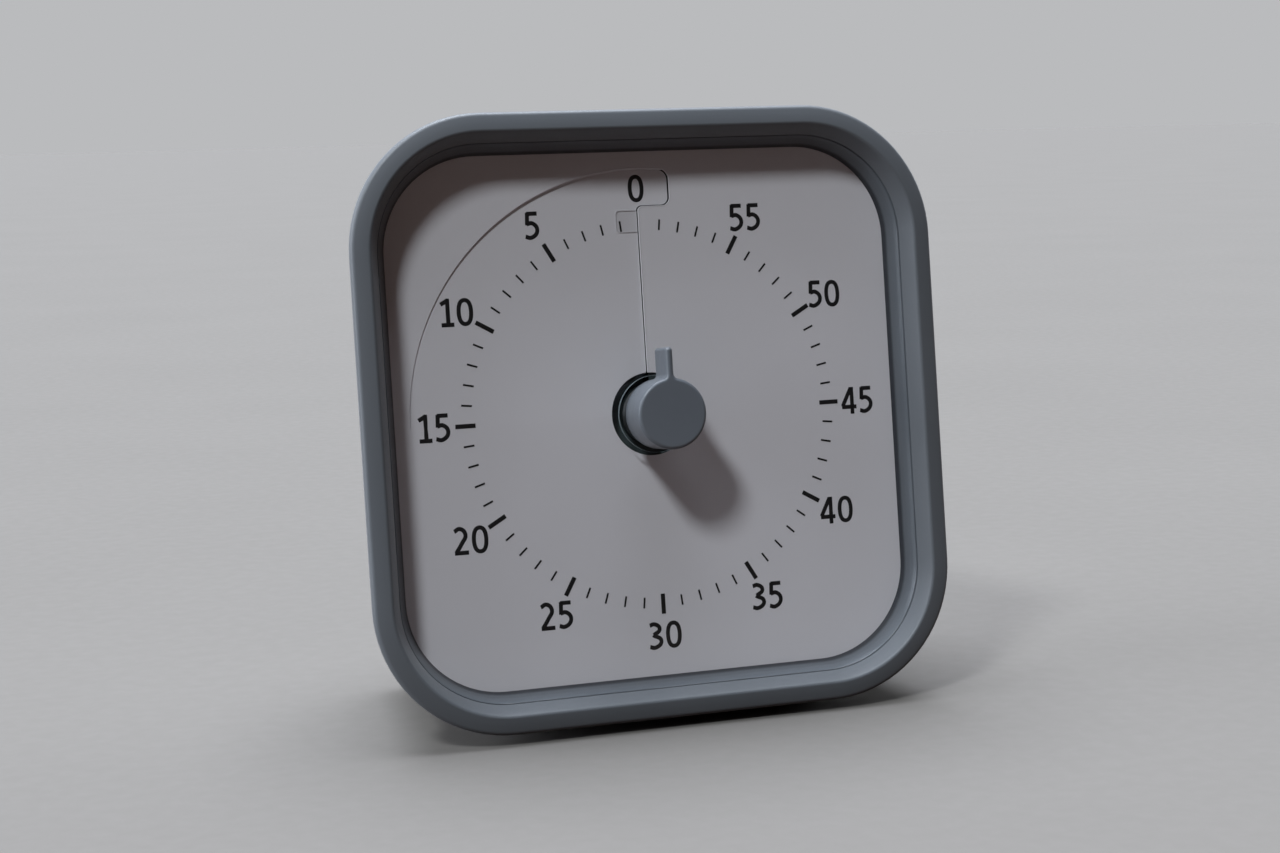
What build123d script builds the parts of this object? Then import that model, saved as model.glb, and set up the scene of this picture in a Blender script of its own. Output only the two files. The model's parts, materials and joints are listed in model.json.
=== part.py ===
from build123d import *
import os
from math import atan2, cos, degrees, pi, radians, sin, sqrt, tan

# Visual countdown timer: a square tabletop case in a soft sleeve, a dial under a clear lens,
# and a knob that winds a coloured disk out of a slit in the dial.
#
# Everything is drawn in the case frame: X to the right and Y up in the plane of the dial,
# Z out of the dial towards the user, origin at the centre of the dial's front face.
# The last step stands the case on its base: +Z up, front towards -Y, leaning back a little,
# origin at the centre of the flat base.

# ---------------------------------------------------------------- driving sizes, millimetres

# case outline and stance
case_width = 89.0            # over the lip of the sleeve
case_height = 89.5
lip_corner_r = 19.8          # outer corner radius of the lip
lean = 7.0                   # degrees that the dial leans back from upright
draft = 8.0                  # degrees that the side walls close towards the back
lip_hover = 1.6              # height of the lip's lower edge above the table

# sleeve
lip_overhang = 1.5           # lip beyond the side wall
lip_height = 2.7             # lip's crest above the bezel's edge
lip_shoulder = 0.35          # the lip's two edges, below its crest
lip_crown = 0.05             # corner of the crest's arch, above the crest
lip_crown_in = 1.9           # the same corner, in from the lip's edge
lip_crown_r = 3.0
lip_edge_r = 1.1
lip_inner_r = 0.6
lip_slope_run = 1.25         # the lip's inner slope
lip_under = 2.0              # underside of the lip, below its crest
lip_under_r = 1.2
lip_root = 3.8               # where the lip's underside meets the wall, below its crest
lip_root_r = 1.0
lip_lowest = 1.1             # point that comes nearest to the table, below the crest
cover_wall = 1.5
cover_fit = 0.1              # sleeve to hard case
rear_edge_r = 2.0
back_lip_width = 3.6
back_lip_wall = 1.35
back_lip_r = 0.4
foot_width = 50.0
foot_front = 1.5             # how far behind the dial plane the foot starts
foot_round = 2.5

# dial window, bezel and lens
window_inset = 5.7           # lip edge to window edge
bezel_run = 1.4              # the bezel's slope, sideways
bezel_lip = 0.74             # the bezel's edge above the lens
bezel_inner_r = 0.15
bezel_outer_r = 0.25
lens_wall = 0.7
lens_clear = 0.09            # lens above the disk after a whole turn
lens_tuck = 0.6              # lens edge hidden under the bezel
lens_hole_r = 5.68
lens_rim_r = 0.2
part_gap = 0.05              # between parts that are clamped or glued together

# dial face with its ramped flap
face_wall = 0.25
face_hole_r = 6.18
flap_r = 36.4                # arc that frees the flap
flap_turn = 90.0             # degrees over which the flap comes back to the dial's level
slit_x = 0.375               # slit, left of the centre line
slit_gap = 0.15
zero_tab_right = 4.7         # the tab that carries the 0
zero_tab_foot = 31.07
zero_tab_foot_r = 1.1
zero_tab_top_r = 1.43
jog_r = 0.88                 # where the tab's foot turns into the slit

# coloured disk
disk_r = 30.6
disk_wall = 0.10
disk_gap = 0.06              # above the flap and below the dial face
disk_end_gap = 4.0           # degrees left open between the disk's two ends
tab_length = 3.6
tab_width = 3.2
tab_inset = 0.2              # in from the disk's edge
tab_round = 0.5
hub_r = 4.5
hub_front = 0.3
hub_lip = 0.31               # hub behind the disk's hidden end
hub_chamfer = 0.3
film_fit = 0.02              # disk round its hub

# knob and shaft
knob_r = 5.175
knob_gap = 1.14              # knob above the lens
knob_height = 6.8
knob_edge = 0.35
knob_chamfer = 0.25
pointer_reach = 9.65         # knob axis to the pointer's tip
pointer_width = 1.05
pointer_step = 1.5           # back of the pointer above the back of the knob
pointer_root_r = 0.7
shaft_r = 2.0
shaft_neck_r = 1.5
shaft_neck_length = 4.5
neck_fit = 0.02
neck_end_gap = 0.1
running_gap = 0.04           # radial, shafts in bores
bush_wall = 1.0
bush_fit = 0.02
bush_proud = 0.25            # bush in front of the chassis plate's face
clip_wall = 0.3
clip_inset = 0.15            # clip to the shaft's rear end
clip_groove = 0.4
clip_fit = 0.02
clip_reach = 1.1             # clip beyond the shaft
clip_mouth = 1.8
dish_wall = 0.12
dish_reach = 2.2             # clutch spring beyond the shaft
dish_band = 0.5
dish_room = 0.45             # clip to centre wheel

# hard case
shell_wall = 2.0
flange_width = 3.2
flange_wall = 1.95
split_depth = 14.0           # dial plane to the joint between front and back case
tongue_length = 1.5
tongue_wall = 0.9
tongue_side_gap = 0.15
tongue_end_gap = 0.1
back_edge_r = 1.2
inner_edge_r = 1.0
post_inset = 18.0            # screw post centres, in from the lip's edge
post_wall = 0.6              # round the screw well
post_clear = 0.3
rib_wall = 1.6
rib_clear = 0.4
well_r = 2.9
well_floor = 3.0             # wall under the screw head
screw_head_r = 2.6
screw_head_height = 2.0
screw_r = 1.2
screw_length = 9.0
screw_clear = 0.35
thread_fit = 0.05

# chassis plate behind the dial
hub_clear = 0.4              # hub to chassis plate
chassis_wall = 1.6
chassis_gap = 0.5
bush_hole_gap = 0.1
lug_reach = 2.6
lug_r = 2.5
lug_height = 12.0            # lugs above and below the dial's centre line
lug_wall = 1.8
small_screw_r = 0.9
small_head_r = 1.8
small_head_height = 1.1
small_screw_clear = 0.2
small_thread_fit = 0.03
screw_short = 0.5            # screw tip to the far side of what it is in
blind_wall = 0.3             # left under a blind hole
head_clear = 0.1

# movement
movement_left = 19.4
movement_right = 20.4
movement_bottom = 12.2
movement_top = 25.4
movement_wall = 1.2
movement_depth = 9.2
movement_split = 4.2
movement_round = 2.0
movement_inner_r = 0.8
movement_post_r = 2.2
movement_post_inset = 1.3    # post centres, in from the movement's inner walls
tray_gap = 0.02
train_clear = 0.6            # front wall to the first wheel
wheel_wall = 1.0
level_pitch = 2.1
module = 0.3
dedendum = 1.15              # in modules
addendum = 0.85
root_flare = 0.30            # half-width gained at the root, per mm of depth
tip_taper = 0.35             # half-width lost at the tip, per mm of height
wheel_tooth = 0.42           # tooth over pitch
pinion_tooth = 0.34
pinion_teeth = 8
centre_teeth = 60
third_teeth = 64
intermediate_teeth = 60
third_bearing = 135.0        # direction of each arbor from the one before, degrees
intermediate_bearing = 40.0
rotor_bearing = -20.0
centre_window_ring = 6.1     # circle of the lightening holes
centre_window_r = 1.5
train_window_ring = 5.4
train_window_r = 1.7
pinion_overlap = 0.15        # pinion past its mating wheel
arbor_r = 0.6
pivot_r = 0.35
pivot_length = 0.65
pivot_hole = 0.8
pivot_shoulder = 0.7
rotor_magnet_r = 2.2
magnet_set_back = 0.3        # magnet behind the first two wheel levels
stator_gap = 0.4
stator_lift = 0.3            # stator in front of the second wheel
stator_wall = 0.8
stator_width = 5.7
stator_half_height = 8.7
stator_arm_gap = 0.8         # coil end to the stator's arm
stator_slot = 2.0            # width of the gap between the stator's poles
coil_r = 2.6
coil_length = 11.0
coil_gap = 0.3               # coil to the stator's ring
core_width = 2.0
core_fit = 0.03
bobbin_tube_r = 1.55
bobbin_cheek = 0.5
winding_gap = 0.05
winding_below = 0.2          # winding below the cheeks' edge

# circuit board
board_width = 13.0
board_height = 33.0
board_wall = 1.0
board_clear = 1.6
board_left = 22.0
board_bottom = -12.0
board_round = 0.8
board_screw_inset = 3.0
standoff_r = 2.2
chip_up = 11.5               # chip centre above the board's lower edge
chip_half_width = 2.0
chip_half_length = 2.6
chip_height = 1.35
chip_lift = 0.15
chip_leads = 4
lead_pitch = 1.27
lead_half_span = 3.1
lead_half_width = 0.2
lead_height = 0.35
crystal_right = 3.4          # crystal axis from the board's left edge
crystal_up = 19.5
crystal_r = 1.05
crystal_length = 6.0
crystal_lift = 0.05
crystal_lead_spread = 0.4
crystal_lead = 1.6           # how far the leads reach past the can
wire_half = 0.13
capacitor_right = 8.6
capacitor_up = 20.0
capacitor_r = 2.5
capacitor_height = 6.9
capacitor_lift = 0.1
capacitor_edge_r = 0.4
capacitor_lead_r = 0.25
capacitor_lead_spread = 1.0

# battery and its compartment
battery_r = 7.25
battery_body = 49.5
battery_edge_r = 0.5
battery_nub_r = 2.75
battery_nub = 1.0
battery_y = -13.0
bay_gap = 0.5                # bay to movement
bay_clear = 0.65
bay_wall = 1.2
bay_round = 1.0
contact_wall = 0.3
contact_half = 5.0
button_height = 1.1
button_foot_r = 2.6
button_top_r = 1.8
spring_room = 7.0
spring_wire_r = 0.4
spring_r = 3.4
spring_turns = 4
door_ledge = 1.2
door_wall = 1.35
door_gap = 0.15
door_round = 1.4
door_edge_r = 0.5            # the door's edges; it pivots about the round at its foot
thumb_half = 4.7
thumb_length = 1.6
thumb_gap = 0.3
thumb_round = 1.2
finger_room = 0.6
grip_count = 4
grip_start = 1.2
grip_pitch = 1.1
grip_half = 3.6
grip_width = 0.5
grip_depth = 0.3
hook_width = 6.0
hook_x = 15.0
hook_reach = 1.3
hook_gap = 0.3               # hook to the case's inner face
hook_wall = 1.1
hook_neck = 1.2
hook_neck_in = 0.2           # neck, in from the door's foot
hook_side_gap = 0.4
hook_end_gap = 0.5
hook_room = 2.6

# buzzer and alert switch
buzzer_x = -15.0
buzzer_y = 14.0
buzzer_r = 10.0
buzzer_wall = 0.3
buzzer_ledge = 0.8
ceramic_share = 0.7          # ceramic over disc, in radius
ceramic_wall = 0.25
chamber_height = 3.0
chamber_wall = 1.2
sound_hole_r = 0.6
sound_hole_pitch = 2.6
switch_x = 14.0
switch_y = 15.0
switch_length = 9.6
switch_width = 5.4
switch_height = 4.0
switch_wall = 0.8
switch_pocket = 1.8
switch_round = 0.4
switch_travel = 3.0
switch_gap = 0.25
slider_stem = 2.6
slider_proud = 1.0
slider_back_gap = 0.15
slider_wall = 1.15
slider_round = 0.3
slider_grip = 0.3            # width and depth of the grip grooves
slider_grip_pitch = 0.7
recess_margin = 1.2
recess_depth = 0.8
recess_round = 1.2

# joining and cutting
past = 1.0                   # how far a cut runs past the face that it opens
sink = 0.2                   # how far a rib or post is rooted in its wall

# ---------------------------------------------------------------- sizes that follow from them

half_width = case_width / 2
centre_x = half_width - lip_corner_r           # centre shared by every corner arc
centre_y = case_height / 2 - lip_corner_r
taper = tan(radians(draft))
window = half_width - window_inset             # half-width of the dial window

flap_drop = face_wall + disk_wall + 2 * disk_gap       # how deep the flap lies at the slit
climb = flap_drop / flap_turn                          # rise of the disk, mm per degree
disk_top = -face_wall - disk_gap                       # disk's front face at the slit
disk_rise = 360 * climb                                # travel of the disk over one turn
lens_back = disk_top + disk_rise + lens_clear
lens_front = lens_back + lens_wall
bezel_rise = lens_front + bezel_lip
lens_half = window + bezel_run * lens_front / bezel_rise + lens_tuck
hub_back = disk_top - disk_rise - disk_wall - hub_lip

knob_back = lens_front + knob_gap
knob_front = knob_back + knob_height
pointer_back = knob_back + pointer_step

lip_crest = bezel_rise + lip_height
wall_x = half_width - lip_overhang             # half-width of the sleeve's wall under the lip
wall_z = lip_crest - lip_root

chassis_front = hub_clear - hub_back           # depth behind the dial plane
chassis_back = -chassis_front - chassis_wall
train_front = chassis_back - movement_wall - train_clear
movement_rear = chassis_back - movement_depth
shaft_end = train_front - wheel_wall - dish_room - clip_wall - clip_inset
bush_r = shaft_r + bush_wall

bay_half_width = battery_r + bay_clear
bay_half_length = (2 * contact_wall + button_height + battery_nub + battery_body + spring_room) / 2
bay_floor = movement_rear - bay_gap - bay_wall
inner_rear = bay_floor - 2 * bay_half_width
case_rear = inner_rear - shell_wall
rear = case_rear - part_gap - back_lip_wall
battery_z = inner_rear + bay_half_width
battery_left = -bay_half_length + contact_wall + button_height
battery_end = battery_left + battery_nub + battery_body
door_half = bay_half_width + door_ledge - door_gap
door_foot = battery_y - door_half

post_x = half_width - post_inset
post_y = case_height / 2 - post_inset
post_r = well_r + post_wall
screw_seat = -split_depth - well_floor

# centre of the foot, on the table plane, in the case frame
lip_drop = case_height / 2 * cos(radians(lean)) - (lip_crest - lip_lowest) * sin(radians(lean))
dial_height = lip_drop + lip_hover             # centre of the dial above the table
foot_rear = rear + foot_front
foot_middle = (foot_rear - foot_front) / 2


def table_y(z):
    """Case-frame height of the table plane at depth z."""
    return (-dial_height - z * sin(radians(lean))) / cos(radians(lean))


foot_forward = table_y(foot_middle) * sin(radians(lean)) - foot_middle * cos(radians(lean))
stand = Location((0, -foot_forward, dial_height), (90 - lean, 0, 0))


# ---------------------------------------------------------------- shapes used by many parts

def sleeve_x(z):
    """Half-width of the sleeve's outer wall at depth z."""
    return wall_x - (wall_z - z) * taper


def shell_x(z):
    """Half-width of the hard case's outer wall at depth z."""
    return sleeve_x(z) - cover_wall - cover_fit


def room_x(z):
    """Half-width of the room inside the hard case at depth z."""
    return shell_x(z) - shell_wall


def plate(half, low, high):
    """Rounded-square plate of half-width half, concentric with the case, between two depths."""
    outline = RectangleRounded(2 * half, 2 * (half - centre_x + centre_y), half - centre_x)
    return Pos(0, 0, low) * extrude(outline, high - low)


def section(corners):
    """Closed face in the XZ plane through corners (x, z) or (x, z, fillet radius)."""
    points = [corner[:2] for corner in corners]
    radii = [corner[2] if len(corner) > 2 else 0 for corner in corners]
    return Plane.XZ * make_face(FilletPolyline(*points, radius=radii, close=True))


def ring(corners):
    """Sweep a section around the rounded square: four straight sides and four turned corners."""
    face = section(corners)
    side = extrude(face, centre_y, both=True)
    cap = Rot(0, 0, 90) * extrude(Pos(centre_y - centre_x, 0, 0) * face, centre_x, both=True)
    corner = revolve(Pos(-centre_x, 0, 0) * face, Axis.Z, 90)
    pieces = [side, mirror(side, Plane.YZ), cap, mirror(cap, Plane.XZ)]
    for quarter, (x, y) in enumerate(((1, 1), (-1, 1), (-1, -1), (1, -1))):
        pieces.append(Pos(x * centre_x, y * centre_y, 0) * Rot(0, 0, 90 * quarter) * corner)
    return pieces[0].fuse(*pieces[1:]).clean()


def disc(radius, low, high, x=0.0, y=0.0):
    """Cylinder along Z between two depths."""
    return Pos(x, y, low) * extrude(Circle(radius), high - low)


def tube(outer, inner, low, high, x=0.0, y=0.0):
    return Pos(x, y, low) * extrude(Circle(outer) - Circle(inner), high - low)


def block(left, right, bottom, top, low, high, radius=0.0):
    """Box between six planes, with its four Z edges rounded."""
    width, height = right - left, top - bottom
    flat = RectangleRounded(width, height, radius) if radius else Rectangle(width, height)
    return Pos((left + right) / 2, (bottom + top) / 2, low) * extrude(flat, high - low)


def pad(x, y, half_x, half_y, low, high, radius=0.0):
    """Box of half-widths half_x and half_y round the point (x, y)."""
    return block(x - half_x, x + half_x, y - half_y, y + half_y, low, high, radius)


def ramp(inner, outer, start, end, level, wall):
    """Slab under a helical ramp. Angles run counter-clockwise from 12 o'clock; the ramp's
    front face is at level on 12 o'clock and climbs with the angle."""
    turn = end - start
    edges = [Edge.make_helix(360 * climb, turn * climb, radius) for radius in (inner, outer)]
    face = Face.make_surface_from_curves(*edges)
    slab = extrude(face, wall, dir=(0, 0, -1))
    return Pos(0, 0, level + start * climb) * Rot(0, 0, 90 + start) * slab


def screw(shank_r, length, head_r, head_height):
    """Pan-head screw along -Z, seated at the origin, with a cross recess."""
    head = disc(head_r, 0, head_height)
    head = fillet(head.edges().sort_by(Axis.Z)[-1], 0.4 * head_height)
    slot = Box(1.3 * head_r, 0.28 * head_r, head_height)
    cross = Pos(0, 0, head_height) * (slot + Rot(0, 0, 90) * slot)
    shank = disc(shank_r, -length, 0)
    shank = chamfer(shank.edges().sort_by(Axis.Z)[0], 0.4 * shank_r)
    return head - cross + shank


def small_screw(length, head_height=small_head_height):
    """Small screw that is driven from behind, with its head towards the back."""
    return Rot(180, 0, 0) * screw(small_screw_r, length, small_head_r, head_height)


def gear(teeth, thickness, tooth_share, phase=0.0):
    """Spur wheel with straight-flanked teeth; tooth_share is tooth over pitch at the pitch circle."""
    pitch_r = module * teeth / 2
    depth, height = dedendum * module, addendum * module
    half_pitch = tooth_share * pi / teeth
    half_root = half_pitch + root_flare * depth / pitch_r
    half_tip = half_pitch - tip_taper * height / pitch_r
    root_r, tip_r = pitch_r - depth, pitch_r + height
    flanks = ((root_r, -half_root), (tip_r, -half_tip), (tip_r, half_tip), (root_r, half_root))
    points = []
    for tooth in range(teeth):
        middle = radians(phase) + 2 * pi * tooth / teeth
        points += [(r * cos(middle + turn), r * sin(middle + turn)) for r, turn in flanks]
    return extrude(make_face(Polyline(*points, close=True)), thickness)


def around(radius, count):
    """Points evenly spaced on a circle."""
    return [(radius * cos(2 * pi * i / count), radius * sin(2 * pi * i / count)) for i in range(count)]


def windows(ring_r, count, radius):
    """Circle of round lightening holes, long enough to pass through any wheel."""
    holes = [Pos(x, y) * Circle(radius) for x, y in around(ring_r, count)]
    return extrude(Sketch() + holes, 2 * wheel_wall, both=True)


# ---------------------------------------------------------------- case and sleeve

def silicone_cover():
    """Soft sleeve with a proud front lip, a lip over the back edge and a flat foot."""
    lip_inner = window + bezel_run + part_gap
    seat = bezel_rise + part_gap
    shoulder = lip_crest - lip_shoulder
    back_x = sleeve_x(rear) - back_lip_width
    back_z = rear + back_lip_wall
    sleeve = ring([
        (lip_inner, seat),
        (lip_inner + lip_slope_run, shoulder, lip_inner_r),
        (half_width - lip_crown_in, lip_crest + lip_crown, lip_crown_r),
        (half_width, shoulder, lip_edge_r),
        (half_width, lip_crest - lip_under, lip_under_r),
        (wall_x + part_gap, wall_z, lip_root_r),
        (sleeve_x(rear), rear, rear_edge_r),
        (back_x, rear, back_lip_r),
        (back_x, back_z),
        (shell_x(back_z) + cover_fit, back_z),
        (shell_x(seat) + cover_fit, seat),
    ])
    middle = centre_y - centre_x - cover_wall / 2
    profile = [
        (table_y(-foot_front), -foot_front),
        (table_y(foot_rear), foot_rear),
        (-(sleeve_x(foot_rear) + middle), foot_rear),
        (-(sleeve_x(-foot_front) + middle), -foot_front),
    ]
    face = Plane.YZ * make_face(Polyline(*profile, close=True))
    foot = extrude(face, foot_width / 2, both=True)
    uprights = foot.edges().filter_by(lambda edge: abs(edge.tangent_at(0.5).Y) > 0.9)
    foot = fillet(uprights, foot_round)
    return sleeve + foot


def bezel():
    """Glossy ring round the window: its slope, and the pocket that holds the lens and dial."""
    pocket = lens_half + part_gap
    return ring([
        (lens_half - lens_tuck, lens_front),
        (window + bezel_run, bezel_rise, bezel_inner_r),
        (shell_x(bezel_rise), bezel_rise, bezel_outer_r),
        (shell_x(-face_wall), -face_wall),
        (pocket, -face_wall),
        (pocket, lens_front),
    ])


def spacer_ring():
    """Ring between dial and lens that carries the slope on down to the dial."""
    return ring([
        (window, 0),
        (window + bezel_run * lens_back / bezel_rise, lens_back),
        (lens_half, lens_back),
        (lens_half, 0),
    ])


def lens():
    pane = plate(lens_half, lens_back, lens_front)
    pane -= disc(lens_hole_r, lens_back - past, lens_front + past)
    rim = pane.edges().filter_by(GeomType.CIRCLE).group_by(SortBy.RADIUS)[0]
    return fillet(rim, lens_rim_r)


def post_places():
    """Centres of the four screw posts."""
    return [(x, y) for x in (-post_x, post_x) for y in (-post_y, post_y)]


def post_rib(x, y, low, high, width):
    """Web from a screw post out to the wall in its corner."""
    turn = degrees(atan2(y, x))
    start = Vector(x, y).length
    corner = Vector(centre_x, centre_y).length
    end = corner + shell_x(low) - centre_x - sink
    return Rot(0, 0, turn) * block(start, end, -width / 2, width / 2, low, high)


def lug_places():
    """Centres of the four lugs that the chassis plate is screwed to."""
    x = room_x(-chassis_front) - lug_reach
    return [(side * x, height) for side in (-1, 1) for height in (-lug_height, lug_height)]


def front_case():
    """Front half of the hard case: flange, walls with a tongue, screw posts and lugs."""
    split = -split_depth
    tip = split - tongue_length
    flange_inner = window + bezel_run - flange_width
    flange_back = -face_wall - flange_wall
    shell = ring([
        (flange_inner, -face_wall),
        (shell_x(-face_wall), -face_wall),
        (shell_x(split), split),
        (room_x(split) + tongue_wall, split),
        (room_x(tip) + tongue_wall, tip),
        (room_x(tip), tip),
        (room_x(flange_back), flange_back),
        (flange_inner, flange_back),
    ])
    for x, y in post_places():
        shell += disc(post_r, split, flange_back, x, y)
        shell += post_rib(x, y, split, flange_back, rib_wall)
        shell -= disc(screw_r + thread_fit, split - past, screw_seat + screw_length + past, x, y)
    front = lug_wall - chassis_front
    for x, y in lug_places():
        wall = x + (lug_reach + sink) * x / abs(x)
        shell += block(min(x, wall), max(x, wall), y - lug_r, y + lug_r, -chassis_front, front)
        shell += disc(lug_r, -chassis_front, front, x, y)
        shell -= disc(small_screw_r + small_thread_fit, -chassis_front - past, front - blind_wall, x, y)
    return shell


def back_case():
    """Rear half of the hard case: walls, back, screw wells, battery bay, switch and buzzer seats."""
    split = -split_depth - part_gap
    step = tongue_wall + tongue_side_gap
    step_end = split - tongue_length - tongue_end_gap
    shell = ring([
        (shell_x(split), split),
        (shell_x(case_rear), case_rear, back_edge_r),
        (post_x, case_rear),
        (post_x, inner_rear),
        (room_x(inner_rear), inner_rear, inner_edge_r),
        (room_x(step_end), step_end),
        (room_x(step_end) + step, step_end),
        (room_x(split) + step, split),
    ])
    shell += plate(post_x + sink, case_rear, inner_rear)
    for x, y in post_places():
        shell += disc(post_r, inner_rear - sink, split, x, y)
    shell += battery_bay()
    shell += tube(buzzer_r + chamber_wall, buzzer_r - buzzer_ledge, inner_rear - sink,
                  inner_rear + chamber_height, buzzer_x, buzzer_y)
    for x, y in post_places():
        shell -= disc(well_r, case_rear - past, screw_seat, x, y)
        shell -= disc(screw_r + screw_clear, screw_seat - past, split + past, x, y)
    shell -= battery_opening()
    for x, y in sound_holes():
        shell -= disc(sound_hole_r, case_rear - past, inner_rear + past, x, y)
    return shell - switch_opening()


def sound_holes():
    """Grille: one hole and two rings of holes over the buzzer."""
    spots = [(0, 0)] + around(sound_hole_pitch, 6) + around(2 * sound_hole_pitch, 12)
    return [(buzzer_x + x, buzzer_y + y) for x, y in spots]


def switch_opening():
    """Slot for the switch's stem, with a shallow thumb recess round it."""
    middle = switch_x + switch_travel / 2
    half_long = (slider_stem + switch_travel) / 2 + switch_gap
    half_wide = slider_stem / 2 + switch_gap
    slot = pad(middle, switch_y, half_long, half_wide, case_rear - past, inner_rear + past, switch_round)
    recess = pad(middle, switch_y, half_long + recess_margin, half_wide + recess_margin,
                 case_rear - past, case_rear + recess_depth, recess_round)
    return slot + recess


def battery_bay():
    return pad(0, battery_y, bay_half_length + bay_wall, bay_half_width + bay_wall,
               inner_rear - sink, bay_floor + bay_wall, bay_round)


def battery_opening():
    """Bay, door recess, finger notch and the two slots that the door's hooks reach into."""
    bay = pad(0, battery_y, bay_half_length, bay_half_width, case_rear - past, bay_floor)
    edge = door_half + door_gap
    ledge = case_rear + door_wall + part_gap
    recess = pad(0, battery_y, bay_half_length + door_ledge, edge, case_rear - past, ledge,
                 door_round - door_gap)
    notch_half = thumb_half + thumb_gap
    top = battery_y + edge
    notch = block(-notch_half, notch_half, top - past, top + thumb_length + finger_room,
                  case_rear - past, ledge, thumb_round + thumb_gap)
    cut = bay + recess + notch
    slot_half = hook_width / 2 + hook_side_gap
    bay_foot = battery_y - bay_half_width + past
    for x in (-hook_x, hook_x):
        low_end = battery_y - edge - hook_reach - hook_end_gap
        cut += block(x - slot_half, x + slot_half, low_end, bay_foot, inner_rear, inner_rear + hook_room)
        cut += block(x - slot_half, x + slot_half, battery_y - edge + part_gap, bay_foot, case_rear,
                     inner_rear + past)
    return cut


def battery_door():
    """Door with two hooks at its foot; it swings out about its rounded lower edge."""
    length = bay_half_length + door_ledge - door_gap
    low, high = case_rear, case_rear + door_wall
    door = pad(0, battery_y, length, door_half, low, high, door_round)
    faces = door.faces().sort_by(Axis.Z)
    door = fillet(faces[0].edges() + faces[-1].edges(), door_edge_r)
    top = battery_y + door_half
    door += block(-thumb_half, thumb_half, top - thumb_round, top + thumb_length, low, high, thumb_round)
    for groove in range(grip_count):
        y = top - grip_start - grip_pitch * groove
        door -= pad(0, y, grip_half, grip_width / 2, low - past, low + grip_depth)
    hook_low = inner_rear + hook_gap
    hook_high = hook_low + hook_wall
    neck_top = door_foot + hook_neck_in + hook_neck
    for x in (-hook_x, hook_x):
        left, right = x - hook_width / 2, x + hook_width / 2
        door += block(left, right, door_foot + hook_neck_in, neck_top, high - sink, hook_high)
        door += block(left, right, door_foot - hook_reach, neck_top, hook_low, hook_high)
    return door


# ---------------------------------------------------------------- dial and disk

def flap_outline():
    """Plan of the flap: a quarter round from the slit to the left, with the tab for the 0."""
    size = flap_r + past
    quarter = Circle(flap_r) & Pos(-slit_x - size / 2, size / 2) * Rectangle(size, size)
    left, right = -slit_x - tab_length, zero_tab_right
    tab = Circle(flap_r) & (Pos((left + right) / 2, zero_tab_foot + size / 2)
                            * Rectangle(right - left, size))
    flap = quarter + tab
    rounds = (
        (Vector(zero_tab_right, zero_tab_foot), zero_tab_foot_r),
        (Vector(-slit_x, zero_tab_foot), jog_r),
        (Vector(zero_tab_right, sqrt(flap_r ** 2 - zero_tab_right ** 2)), zero_tab_top_r),
    )
    for corner, radius in rounds:
        flap = fillet(flap.vertices().sort_by_distance(corner)[0], radius)
    return flap


def dial_face():
    """Thin sheet with the slit, and a flap that ramps down to let the disk out on top."""
    flap = flap_outline()
    size = 3 * flap_r
    freed = offset(flap, slit_gap) - Pos(0, -size / 2) * Rectangle(size, size)
    sheet = plate(lens_half, -face_wall, 0)
    hole = disc(face_hole_r, -past - flap_drop, past)
    sheet = sheet - extrude(freed, past, both=True) - hole
    start = -2 * degrees(atan2(zero_tab_right, zero_tab_foot))
    slab = ramp(face_hole_r - past, flap_r + past, start, flap_turn, -flap_drop, face_wall)
    leaf = slab & extrude(flap, 2 * past, both=True)
    return sheet + (leaf - hole)


def disk_film():
    """Coloured disk: one turn of a thin helical sheet that winds out through the slit."""
    return ramp(hub_r + film_fit, disk_r, disk_end_gap - 360, 0, disk_top, disk_wall)


def disk_tab():
    """Clear tab on the disk's leading edge, always on top of the dial."""
    outer = disk_r - tab_inset
    inner = outer - tab_width
    turn = 2 * degrees(atan2(tab_length, inner))
    slab = ramp(inner - past, disk_r + past, 0, turn, disk_top, disk_wall)
    return slab & block(-tab_length, tab_length, inner, outer, -past, past, tab_round)


def disk_hub():
    """Hub that carries the disk along the shaft."""
    hub = tube(hub_r, shaft_r + running_gap, hub_back, hub_front)
    rim = hub.edges().filter_by(GeomType.CIRCLE).group_by(Axis.Z)[-1]
    return chamfer(rim.group_by(SortBy.RADIUS)[-1], hub_chamfer)


def knob():
    """Round knob with a thin pointer, and a blind bore for the shaft."""
    body = disc(knob_r, knob_back, knob_front)
    half = pointer_width / 2
    tip = pointer_reach - half
    pointer = Circle(knob_r) + Pos(0, tip / 2) * Rectangle(pointer_width, tip)
    pointer += Pos(0, tip) * Circle(half)
    root_y = sqrt(knob_r ** 2 - half ** 2)
    for root in (Vector(-half, root_y), Vector(half, root_y)):
        pointer = fillet(pointer.vertices().sort_by_distance(root)[0], pointer_root_r)
    body += Pos(0, 0, pointer_back) * extrude(pointer, knob_front - pointer_back)
    body = fillet(body.faces().sort_by(Axis.Z)[-1].edges(), knob_edge)
    body = chamfer(body.faces().sort_by(Axis.Z)[0].edges(), knob_chamfer)
    return body - disc(shaft_neck_r + neck_fit, knob_back - past,
                       knob_back + shaft_neck_length + neck_end_gap)


def clip_levels():
    """Back and front of the retaining clip, near the shaft's rear end."""
    low = shaft_end + clip_inset
    return low, low + clip_wall


def knob_shaft():
    """Shaft from the knob to the clutch behind the centre wheel, with a groove for its clip."""
    shaft = disc(shaft_r, shaft_end, knob_back)
    shaft += disc(shaft_neck_r, knob_back, knob_back + shaft_neck_length)
    return shaft - tube(shaft_r + past, shaft_r - clip_groove, *clip_levels())


def shaft_clip():
    low, high = clip_levels()
    outer = shaft_r + clip_reach
    clip = Circle(outer) - Circle(shaft_r - clip_groove + clip_fit)
    clip -= Pos(0, -outer) * Rectangle(clip_mouth, 2 * outer)
    return Pos(0, 0, low + clip_fit) * extrude(clip, high - low - 2 * clip_fit)


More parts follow.
